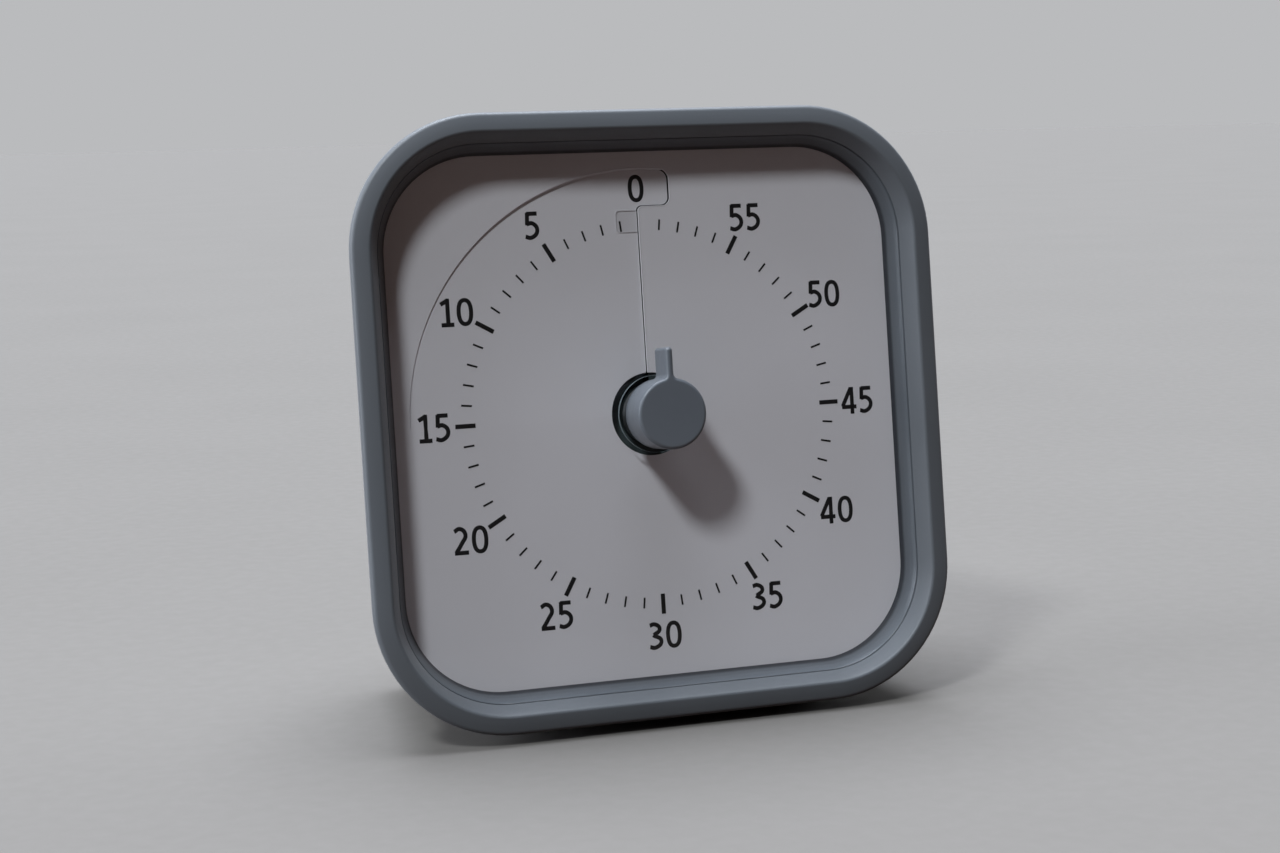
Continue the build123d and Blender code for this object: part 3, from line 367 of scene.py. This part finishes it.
# Nylon in its natural cream: slightly uneven, softly shiny.
keep(surface("bobbin_nylon", ("#cfc9b4", "#d8d2be"), 3, (0.35, 0.45), 0.5, 0.004))

# Nylon dyed black for the switch.
keep(surface("switch_nylon", ("#161718", "#1e1f20"), 3, (0.38, 0.50), 0.35, 0.005))

# Epoxy moulded over the chip: black, finely pitted.
keep(surface("chip_epoxy", ("#121314", "#191a1b"), 2, (0.55, 0.70), 0.12, 0.006))

# Nickel plate: warm white metal, almost a mirror.
keep(surface("nickel", ("#bdb9b1", "#cbc7bf"), 4, (0.12, 0.22), 0.5, 0.001,
             shader={"Metallic": 1.0}))

# Shrunk vinyl sleeve on the capacitor: dark blue and glossy.
keep(surface("capacitor_sleeve", ("#11151f", "#171c29"), 2, (0.18, 0.28), 0.8, 0.004))

# Silvered ceramic: pale, dull, finely speckled.
keep(surface("piezo_ceramic", ("#c8c4b4", "#d6d2c4"), 1.5, (0.45, 0.65), 0.15, 0.004,
             shader={"Metallic": 0.3}))


def copper_winding():
    """Enamelled copper wire, wound in close turns along the coil."""
    material = surface("copper_wire", ("#8f4a26", "#a85a30"), 2, (0.20, 0.30), 0.3, 0.001,
                       shader={"Metallic": 1.0, "Coat Weight": 0.4, "Coat Roughness": 0.1})
    tree = material.node_tree
    # Wire of 0.06 mm is drawn as turns of 0.3 mm, so that the turns show. At a scale of 1 a
    # wave's bands are 2 pi / 20 apart.
    turns = add(tree, "TexWave", {"Vector": node(material, "TexCoord").outputs["Object"],
                                  "Scale": per_mm(wire_pitch) * 2 * pi / 20, "Distortion": 0.0},
                wave_type="BANDS", bands_direction="Z")
    bump = node(material, "Bump")
    tree.links.new(turns.outputs["Fac"], bump.inputs["Height"])
    bump.inputs["Distance"].default_value = wire_relief / 1000
    return keep(material)


def circuit_board():
    """Glass epoxy under green solder mask: the tracks show as paler green lines."""
    material = surface("board_fr4", ("#0f4a2a", "#12532f"), 4, (0.22, 0.32), 0.5, 0.002)
    tree = material.node_tree
    tone = node(material, "ValToRGB").outputs["Color"]
    # Tracks about 0.5 mm wide, between cells about 3 mm across.
    cells = add(tree, "TexVoronoi", {"Vector": node(material, "TexCoord").outputs["Object"],
                                     "Scale": per_mm(track_cell)}, feature="DISTANCE_TO_EDGE")
    line = add(tree, "Math", {0: cells.outputs["Distance"], 1: track_share},
               operation="LESS_THAN")
    mixed = add(tree, "Mix", {"Factor": line.outputs[0], 6: tone, 7: linear("#2c7a49")},
                data_type="RGBA")
    tree.links.new(mixed.outputs[2], node(material, "BsdfPrincipled").inputs["Base Color"])
    return keep(material)


def spacer():
    """Satin ABS ring round the dial, with painted shade: a dark line at its foot, where shade falls beside the
    sheet.
    """
    material = surface("spacer_abs", ("#5c6268", "#60666c"), 12, (0.30, 0.38), 0.8, 0.002)
    tree = material.node_tree
    tone = node(material, "ValToRGB").outputs["Color"]
    dark, clear = (out.dot(dial_middle) + above / 1000 for above in foot_shade_heights)
    height = add(tree, "VectorMath", {0: node(material, "TexCoord").outputs["Object"], 1: out},
                 operation="DOT_PRODUCT")
    # Painted shade: the ring's colour darkens towards its foot on the dial sheet, standing in for the shade there.
    foot = add(tree, "MapRange", {"Value": height.outputs["Value"], "From Min": dark,
                                  "From Max": clear, "To Min": 1.0, "To Max": 0.0})
    foot_shaded_tone = add(tree, "Mix", {"Factor": foot.outputs["Result"], 6: tone, 7: linear("#2b2f35")},
                data_type="RGBA")
    tree.links.new(foot_shaded_tone.outputs[2], node(material, "BsdfPrincipled").inputs["Base Color"])
    return keep(material)


def battery_wrap():
    """Printed shrink wrap with a pale ring at the positive end, and bare nickel at both ends."""
    positive, negative = (corner.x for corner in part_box("aa_battery"))
    material = surface("battery_wrap", ("#23272e", "#2a2f37"), 8, (0.22, 0.32), 1.0, 0.002)
    tree = material.node_tree
    tone = node(material, "ValToRGB").outputs["Color"]
    place = add(tree, "SeparateXYZ", {0: node(material, "TexCoord").outputs["Object"]})
    ring = add(tree, "Math", {0: place.outputs["X"], 1: positive + battery_ring / 1000},
               operation="LESS_THAN")
    nub = add(tree, "Math", {0: place.outputs["X"], 1: positive + battery_nub / 1000},
              operation="LESS_THAN")
    base = add(tree, "Math", {0: place.outputs["X"], 1: negative - battery_base / 1000},
               operation="GREATER_THAN")
    metal = add(tree, "Math", {0: nub.outputs[0], 1: base.outputs[0]}, operation="MAXIMUM")
    banded = add(tree, "Mix", {"Factor": ring.outputs[0], 6: tone, 7: linear("#b9bdc2")},
                 data_type="RGBA")
    ended = add(tree, "Mix", {"Factor": metal.outputs[0], 6: banded.outputs[2],
                              7: linear("#c4c0b8")}, data_type="RGBA")
    skin = node(material, "BsdfPrincipled")
    tree.links.new(ended.outputs[2], skin.inputs["Base Color"])
    tree.links.new(metal.outputs[0], skin.inputs["Metallic"])
    return keep(material)


copper_winding()
circuit_board()
spacer()
battery_wrap()

# Printing ink: near-black, matt, a little thinner in places. It belongs to the dial sheet.
ink = surface("dial_ink", ("#0c0d0f", "#131417"), 1.5, (0.45, 0.60), 0.2, 0.002)

# Pale grey print on the raised words beside the switch: flat and slightly chalky.
pale_print = surface("switch_print", ("#a9adb1", "#b4b8bb"), 1.5, (0.50, 0.62), 0.2, 0.002)

for row in frame["record"]["subparts"]:
    cad = frame["nodes"][row["node"]]
    cad.data.materials.clear()
    cad.data.materials.append(materials[row["material_slot"]])


# ---------------------------------------------------------------- sleeve

def pick(made, kind):
    """Items of one kind out of what a bmesh operator gives back."""
    return [item for item in made if isinstance(item, kind)]


def pull(bm, face, vec):
    """Extrude a face into a block, and give back the vertices of its far side."""
    far = pick(bmesh.ops.extrude_face_region(bm, geom=[face])["geom"], bmesh.types.BMVert)
    bmesh.ops.translate(bm, verts=far, vec=vec)
    return far


def profile_ring(bm, corners):
    """Closed wire in the XZ plane through corners (x, z, radius), with its corners rounded."""
    verts = [bm.verts.new((x, -centre_y, z)) for x, z, _ in corners]
    for a, b in zip(verts, verts[1:] + verts[:1]):
        bm.edges.new((a, b))
    for vert, (_, _, radius) in zip(verts, corners):
        if radius:
            a, b = (edge.other_vert(vert).co - vert.co for edge in vert.link_edges)
            bmesh.ops.bevel(bm, geom=[vert], offset=radius / tan(a.angle(b) / 2),
                            segments=3 if radius < 0.3 else 5 if radius < 1 else 7,
                            affect="VERTICES", profile=0.5, material=-1)
    return list(bm.edges)


def sweep_round_case(bm, edges):
    """Carry a profile along the four straight sides and a quarter turn about each corner."""
    for side in range(4):
        turn = Matrix.Rotation(side * pi / 2, 3, "Z")
        along = turn @ Vector((0, 2 * (centre_x if side % 2 else centre_y), 0))
        made = bmesh.ops.extrude_edge_only(bm, edges=edges)["geom"]
        verts = pick(made, bmesh.types.BMVert)
        bmesh.ops.translate(bm, verts=verts, vec=along)
        edges = [edge for edge in pick(made, bmesh.types.BMEdge) if set(edge.verts) <= set(verts)]
        corner = Vector((centre_x if side in (0, 3) else -centre_x,
                         centre_y if side in (0, 1) else -centre_y, 0))
        made = bmesh.ops.spin(bm, geom=edges, cent=corner, axis=(0, 0, 1), dvec=(0, 0, 0),
                              angle=pi / 2, steps=corner_steps)["geom_last"]
        edges = pick(made, bmesh.types.BMEdge)


def wall(z):
    """Half-width of the sleeve's outer wall at depth z."""
    return wall_x - (wall_z - z) * draft


def table(z):
    """Height of the table in the dial frame at depth z."""
    return (-dial_height - z * sin(lean)) / cos(lean)


def add_foot(bm):
    """Flat foot under the sleeve: a block with round uprights, sunk a little into the wall."""
    bury = centre_y - centre_x - cover_gap / 3
    side = [bm.verts.new((-foot_half, y, z)) for y, z in (
        (table(foot_front), foot_front), (table(foot_rear), foot_rear),
        (-(wall(foot_rear) + bury), foot_rear), (-(wall(foot_front) + bury), foot_front))]
    flank = bmesh.ops.contextual_create(bm, geom=side)["faces"][0]
    verts = side + pull(bm, flank, (2 * foot_half, 0, 0))
    uprights = [edge for edge in {edge for vert in verts for edge in vert.link_edges}
                if abs((edge.verts[0].co - edge.verts[1].co).normalized().y) > 0.9]
    bmesh.ops.bevel(bm, geom=uprights, offset=foot_round, affect="EDGES", segments=8, profile=0.5,
                    material=-1)


bm = bmesh.new()
inner_x = bezel_edge + joint_gap
seat = bezel_rise + seat_gap
back_x = wall(rear) - back_lip_width
back_z = rear + back_lip_wall
sweep_round_case(bm, profile_ring(bm, [
    (inner_x, seat, joint_round),
    (inner_x + lip_slope, lip_crest, lip_slope_round),
    (half_width, lip_crest - lip_shoulder, lip_shoulder_round),
    (half_width, lip_crest - lip_heel, lip_heel_round),
    (wall_x + wall_step, wall_z, wall_round),
    (wall(rear), rear, rear_round),
    (back_x, rear, back_lip_round),
    (back_x, back_z, 0),
    (wall(back_z) - cover_gap, back_z, 0),
    (wall(seat) - cover_gap, seat, 0),
]))
add_foot(bm)
sleeve_piece = finish_piece("sleeve", bm, "case", "sleeve_silicone")
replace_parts(sleeve_piece, "silicone_cover")


# ---------------------------------------------------------------- bezel

# Its slope runs on without a step down to the spacer, past the lens's edge that it is moulded
# round.
bm = bmesh.new()
slope_foot = window + (bezel_edge - window) * lens_back / bezel_rise
sweep_round_case(bm, profile_ring(bm, [
    (slope_foot, lens_back, 0),
    (bezel_edge, bezel_rise, joint_round),
    (bezel_edge, bezel_rise - joint_depth, 0),
    (bezel_edge + joint_gap, bezel_rise - joint_depth, 0),
    (bezel_edge + joint_gap, bezel_rise, 0),
    (wall(bezel_rise) - cover_gap - cover_fit, bezel_rise, bezel_round),
    (wall(-face_wall) - cover_gap - cover_fit, -face_wall, 0),
    (lens_half + lens_fit, -face_wall, 0),
    (lens_half + lens_fit, lens_back, 0),
]))
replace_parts(finish_piece("bezel_ring", bm, "case", "bezel_abs"), "bezel")


# ---------------------------------------------------------------- printing on the dial

def sheet_level(x, y):
    """Height of the dial's face at a point: level, but for the flap that ramps to the slit."""
    beside_slit = x < -slit_x and y > 0
    on_tab = x < zero_tab_right and y > zero_tab_foot
    if hypot(x, y) > flap_r or not (beside_slit or on_tab):
        return 0.0
    return -flap_drop * (1 - degrees(atan2(-x, y)) / 90)


def add_tick(bm, minute, size):
    """Print one minute mark, anticlockwise from the top."""
    middle, length, width = size
    placed = Matrix.Rotation(minute * minute_turn, 4, "Z") @ Matrix.Translation((0, middle, 0))
    shape = Matrix.Diagonal((width, length, ink_wall + ink_root, 1))
    bmesh.ops.create_cube(bm, size=1, matrix=placed @ shape)


def round_line(kind, radius, rounding, closed=False):
    """Empty curve of a radius, and its spline."""
    line = bpy.data.curves.new("line", "CURVE")
    line.dimensions = "3D"
    line.bevel_depth = radius
    line.bevel_resolution = rounding
    line.use_fill_caps = not closed
    spline = line.splines.new(kind)
    spline.use_cyclic_u = closed
    return line, spline


def pour(bm, line):
    """Add a curve's surface to a bmesh, and clear the curve away."""
    line_object = bpy.data.objects.new("line", line)
    skin = bpy.data.meshes.new_from_object(line_object)
    bm.from_mesh(skin)
    bpy.data.objects.remove(line_object)
    bpy.data.curves.remove(line)
    bpy.data.meshes.remove(skin)


def add_stroke(bm, points, width, closed=False):
    """Add one pen stroke, a low ridge of ink along a smooth line or straight between two points.
    Its height is the pen's width until the word is pressed flat."""
    line, spline = round_line("BEZIER", width / 2, 1, closed)
    line.twist_mode = "Z_UP"
    line.resolution_u = 8
    spline.bezier_points.add(len(points) - 1)
    for knot, (x, y) in zip(spline.bezier_points, points):
        knot.co = (x, y, 0)
        knot.handle_left_type = knot.handle_right_type = "AUTO" if len(points) > 2 else "VECTOR"
    pour(bm, line)


# Strokes of each sign in a box one unit high, from its lower left corner: points along the pen's
# middle line. A sign's width follows its name.
SIGNS = {
    "0": (0.60, [[(0.30, 0.925), (0.075, 0.50), (0.30, 0.075), (0.525, 0.50)]]),
    "1": (0.52, [[(0.31, 0.0), (0.31, 1.0)], [(0.34, 0.95), (0.06, 0.80)],
                 [(0.06, 0.07), (0.52, 0.07)]]),
    "2": (0.56, [[(0.05, 0.84), (0.26, 0.925), (0.45, 0.71), (0.30, 0.40), (0.09, 0.09)],
                 [(0.03, 0.07), (0.54, 0.07)]]),
    "3": (0.55, [[(0.06, 0.89), (0.24, 0.925), (0.43, 0.74), (0.20, 0.535)],
                 [(0.17, 0.535), (0.47, 0.30), (0.24, 0.075), (0.03, 0.115)]]),
    "4": (0.60, [[(0.40, 0.97), (0.05, 0.30)], [(0.02, 0.265), (0.60, 0.265)],
                 [(0.43, 0.0), (0.43, 1.0)]]),
    "5": (0.55, [[(0.10, 0.93), (0.49, 0.93)], [(0.13, 0.97), (0.11, 0.52)],
                 [(0.10, 0.56), (0.30, 0.585), (0.475, 0.33), (0.25, 0.075), (0.03, 0.115)]]),
    "O": (0.74, [[(0.37, 0.925), (0.075, 0.50), (0.37, 0.075), (0.665, 0.50)]]),
    "N": (0.68, [[(0.075, 0.0), (0.075, 1.0)], [(0.605, 0.0), (0.605, 1.0)],
                 [(0.075, 0.96), (0.605, 0.04)]]),
    "F": (0.52, [[(0.075, 0.0), (0.075, 1.0)], [(0.05, 0.925), (0.52, 0.925)],
                 [(0.05, 0.52), (0.46, 0.52)]]),
}


def add_word(bm, text, x, y, height, pen, thick):
    """Write a word whose middle is at (x, y), in strokes pressed to one thickness."""
    word = bmesh.new()
    edge = 0.0
    for letter in text:
        width, strokes = SIGNS[letter]
        for points in strokes:
            closed = letter in "0O"
            add_stroke(word, [(edge + px, py) for px, py in points], pen / height, closed)
        edge += width + letter_gap
    bmesh.ops.translate(word, verts=word.verts, vec=((letter_gap - edge) / 2, -0.5, 0))
    bmesh.ops.scale(word, verts=word.verts, vec=(height, height, thick * height / pen))
    bmesh.ops.translate(word, verts=word.verts, vec=(x, y, 0))
    slab = bpy.data.meshes.new(text)
    word.to_mesh(slab)
    word.free()
    bm.from_mesh(slab)
    bpy.data.meshes.remove(slab)


bm = bmesh.new()
for minute in range(1, 60):
    add_tick(bm, minute, minor_tick if minute % 5 else major_tick)
for number in range(0, 60, 5):
    turn = number * minute_turn
    x, y = zero_place if number == 0 else (-numeral_r * sin(turn), numeral_r * cos(turn))
    add_word(bm, str(number), x, y, numeral_height, numeral_pen, ink_wall + ink_root)
for vert in bm.verts:
    vert.co.z += (ink_wall - ink_root) / 2 + sheet_level(vert.co.x, vert.co.y)
marks = finish_piece("dial_print", bm, "case", "dial_sheet", merge=fine_weld)
marks.data.materials[0] = ink


# ---------------------------------------------------------------- rolled edges of the dial

def arc(x, y, radius, start, end, steps=8):
    """Points on an arc, by its centre and its angles in degrees."""
    turns = [radians(start + (end - start) * step / steps) for step in range(steps + 1)]
    return [(x + radius * cos(turn), y + radius * sin(turn)) for turn in turns]


def add_bead(bm, path, height):
    """Fine round bead along a path through points, its middle at one height."""
    line, spline = round_line("POLY", bead_r, 2)
    spline.points.add(len(path) - 1)
    for point, (x, y) in zip(spline.points, path):
        point.co = (x, y, height, 1)
    pour(bm, line)


# One bead follows the fixed side of the cut, up the slit, round the tab and on to the first of
# the long arc, and stands high enough to catch the light. One lies sunk in the cut all along the
# arc and closes it. The last one rolls the flap's own edge at the slit.
bm = bmesh.new()
fixed_x = -slit_x + cut
fixed_foot = zero_tab_foot - cut
fixed_side = zero_tab_right + cut
add_bead(bm, [
    (fixed_x, bead_foot),
    *arc(fixed_x + cut_foot_round, fixed_foot - cut_foot_round, cut_foot_round, 180, 90),
    *arc(fixed_side - cut_side_round, fixed_foot + cut_side_round, cut_side_round, -90, 0),
    *arc(fixed_side - cut_top_round, cut_top_y, cut_top_round, 0, cut_top_turns[0]),
    *arc(0, 0, flap_r + cut, cut_top_turns[1], lit_arc_end, 12),
], lit_bead_z)
add_bead(bm, arc(0, 0, flap_r + sunk_arc_out, *sunk_arc_turns, 64), sunk_bead_z)
flap_x = -slit_x + slit_bead_out
add_bead(bm, [(flap_x, bead_foot), (flap_x, slit_bead_top)], slit_bead_z)
finish_piece("dial_bead", bm, "case", "dial_sheet", merge=fine_weld)


# ---------------------------------------------------------------- knob

def sweep(bm, vert, x, y, turn, steps):
    """Draw an arc from a vertex about the point (x, y), and give back its far end."""
    return bmesh.ops.spin(bm, geom=[vert], cent=(x, y, vert.co.z), axis=(0, 0, 1), dvec=(0, 0, 0),
                          angle=radians(turn), steps=steps)["geom_last"][0]


# Half of its outline: round the grip, through a hollow flare into the pointer, and up to the tip.
flare_x = pointer_half + pointer_flare
flare_y = ((knob_r + pointer_flare) ** 2 - flare_x ** 2) ** 0.5
lean_in = degrees(atan2(flare_x, flare_y))
tip_y = pointer_reach - pointer_half
bm = bmesh.new()
point = bm.verts.new((0, -knob_r, pointer_back))
point = sweep(bm, point, 0, 0, 180 - lean_in, 48)
point = sweep(bm, point, flare_x, flare_y, lean_in - 90, 8)
point = bmesh.ops.extrude_vert_indiv(bm, verts=[point])["verts"][0]
point.co = (pointer_half, tip_y, pointer_back)
sweep(bm, point, 0, tip_y, 90, 8)
bmesh.ops.mirror(bm, geom=bm.verts[:] + bm.edges[:], axis="X", merge_dist=near)
bmesh.ops.remove_doubles(bm, verts=bm.verts, dist=near)
outline = bmesh.ops.contextual_create(bm, geom=bm.edges[:])["faces"][0]
front = set(pull(bm, outline, (0, 0, knob_front - pointer_back)))
bmesh.ops.bevel(bm, geom=[edge for edge in bm.edges if set(edge.verts) <= front],
                offset=knob_round, affect="EDGES", segments=6, profile=0.5, material=-1)
flat_front = max(bm.faces, key=lambda face: face.calc_center_median().z)
bmesh.ops.inset_region(bm, faces=[flat_front], thickness=knob_rim)

# Behind the pointer the grip runs on as a plain round collar.
collar = bmesh.ops.create_circle(bm, segments=96, radius=knob_r, cap_ends=True,
                                 matrix=Matrix.Translation((0, 0, knob_back)))["verts"]
pull(bm, collar[0].link_faces[0], (0, 0, pointer_back - knob_back))
bmesh.ops.bevel(bm, geom=[edge for edge in bm.edges
                          if all(abs(vert.co.z - knob_back) < near for vert in edge.verts)],
                offset=collar_round, affect="EDGES", segments=3, profile=0.5, material=-1)
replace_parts(finish_piece("knob_grip", bm, "knob", "knob_abs", merge=fine_weld), "knob")


# ---------------------------------------------------------------- marks beside the switch

bm = bmesh.new()
for word, side in (("OFF", -1), ("ON", 1)):
    add_word(bm, word, -(switch_middle[0] + side * switch_mark_reach), switch_middle[1],
             switch_mark_height, switch_mark_pen, 2 * switch_mark_wall)
bmesh.ops.rotate(bm, verts=bm.verts, cent=(0, 0, 0), matrix=Matrix.Rotation(pi, 3, "Y"))
bmesh.ops.translate(bm, verts=bm.verts, vec=(0, 0, case_rear))
words = finish_piece("switch_marks", bm, "case", "case_abs", merge=fine_weld)
words.data.materials[0] = pale_print


# ---------------------------------------------------------------- floor, light and camera

floor_radius = 12                            # metres
camera_place = (-96.79, 5.77, 305.66)        # dial frame, millimetres
camera_aim = (-1.94, -1.77, 0)
camera_roll = radians(-1.44)
focal_length = 60.54
sensor_width = 36


def lay_floor():
    """Wide plain floor. The camera sees its paint, and it throws back onto the object only as
    much light as dark wood would."""
    bm = bmesh.new()
    bmesh.ops.create_circle(bm, cap_ends=True, segments=96, radius=floor_radius)
    mesh = bpy.data.meshes.new("floor")
    bm.to_mesh(mesh)
    bm.free()
    floor = bpy.data.objects.new("floor", mesh)
    bpy.context.scene.collection.objects.link(floor)
    # Emulsion paint rolled on board: mid grey, warm and flat.
    paint = surface("floor_paint", ("#73706c", "#75726e"), 90, (0.75, 0.85), 3, 0.01)
    tree = paint.node_tree
    painted = node(paint, "ValToRGB").outputs["Color"]
    looked_at = add(tree, "LightPath").outputs["Is Camera Ray"]
    tone = add(tree, "Mix", {"Factor": looked_at, 6: linear("#33231a"), 7: painted},
               data_type="RGBA")
    tree.links.new(tone.outputs[2], node(paint, "BsdfPrincipled").inputs["Base Color"])
    mesh.materials.append(paint)


def add_sun(name, toward, power, tone, spread):
    """Far light that shines on the object from a direction, softened by its spread in degrees."""
    lamp = bpy.data.lights.new(name, "SUN")
    lamp.energy, lamp.color, lamp.angle = power, linear(tone)[:3], radians(spread)
    held = bpy.data.objects.new(name, lamp)
    toward = Vector(toward).normalized()
    held.location = dial_middle + toward
    held.rotation_mode = "QUATERNION"
    held.rotation_quaternion = toward.to_track_quat("Z", "Y")
    bpy.context.scene.collection.objects.link(held)


lay_floor()
add_sun("window", (-0.474, -0.448, 0.757), 1.78, "#f4faff", 9)
add_sun("ceiling", (0, 0.2, 1), 5.0, "#eef4ff", 45)
add_sun("side_window", (-0.95, 0.10, 0.3), 2.5, "#eef4ff", 45)

# A pale curtain glows behind the object, and the rest of the room is dim and warm. The camera
# sees a plain backdrop instead, in the tone that the floor has far away.
world = bpy.data.worlds.new("room")
world.use_nodes = True
room = world.node_tree
room.nodes.clear()
toward = add(room, "SeparateXYZ", {0: add(room, "TexCoord").outputs["Generated"]})
behind = add(room, "MapRange", {"Value": toward.outputs["Y"], "From Min": -0.1, "From Max": 0.5},
             interpolation_type="SMOOTHSTEP")
above = add(room, "MapRange", {"Value": toward.outputs["Z"], "From Min": -0.05, "From Max": 0.1},
            interpolation_type="SMOOTHSTEP")
curtain = add(room, "Math", {0: behind.outputs["Result"], 1: above.outputs["Result"]},
              operation="MULTIPLY")
lit = add(room, "Mix", {"Factor": curtain.outputs[0], 6: linear("#20150f"),
                        7: linear("#dfe2e6")}, data_type="RGBA")
seen = add(room, "Mix", {"Factor": add(room, "LightPath").outputs["Is Camera Ray"],
                         6: lit.outputs[2], 7: linear("#babbbd")}, data_type="RGBA")
glow = add(room, "Background", {"Color": seen.outputs[2], "Strength": 1.0})
add(room, "OutputWorld", {"Surface": glow.outputs["Background"]})
bpy.context.scene.world = world
bpy.context.scene.view_settings.view_transform = "Standard"
# Light passes the lens and the tab twice, and every one of their faces counts as a bounce.
bpy.context.scene.cycles.transparent_max_bounces = 24

camera_data = bpy.data.cameras.new("camera")
camera_data.lens = focal_length
camera_data.sensor_width = sensor_width
camera_data.clip_start = 0.01
camera = bpy.data.objects.new("camera", camera_data)
camera.location = in_dial @ Vector(camera_place)
look = in_dial @ Vector(camera_aim) - camera.location
camera.rotation_mode = "QUATERNION"
camera.rotation_quaternion = look.to_track_quat("-Z", "Y") @ Quaternion((0, 0, 1), camera_roll)
bpy.context.scene.collection.objects.link(camera)
bpy.context.scene.camera = camera
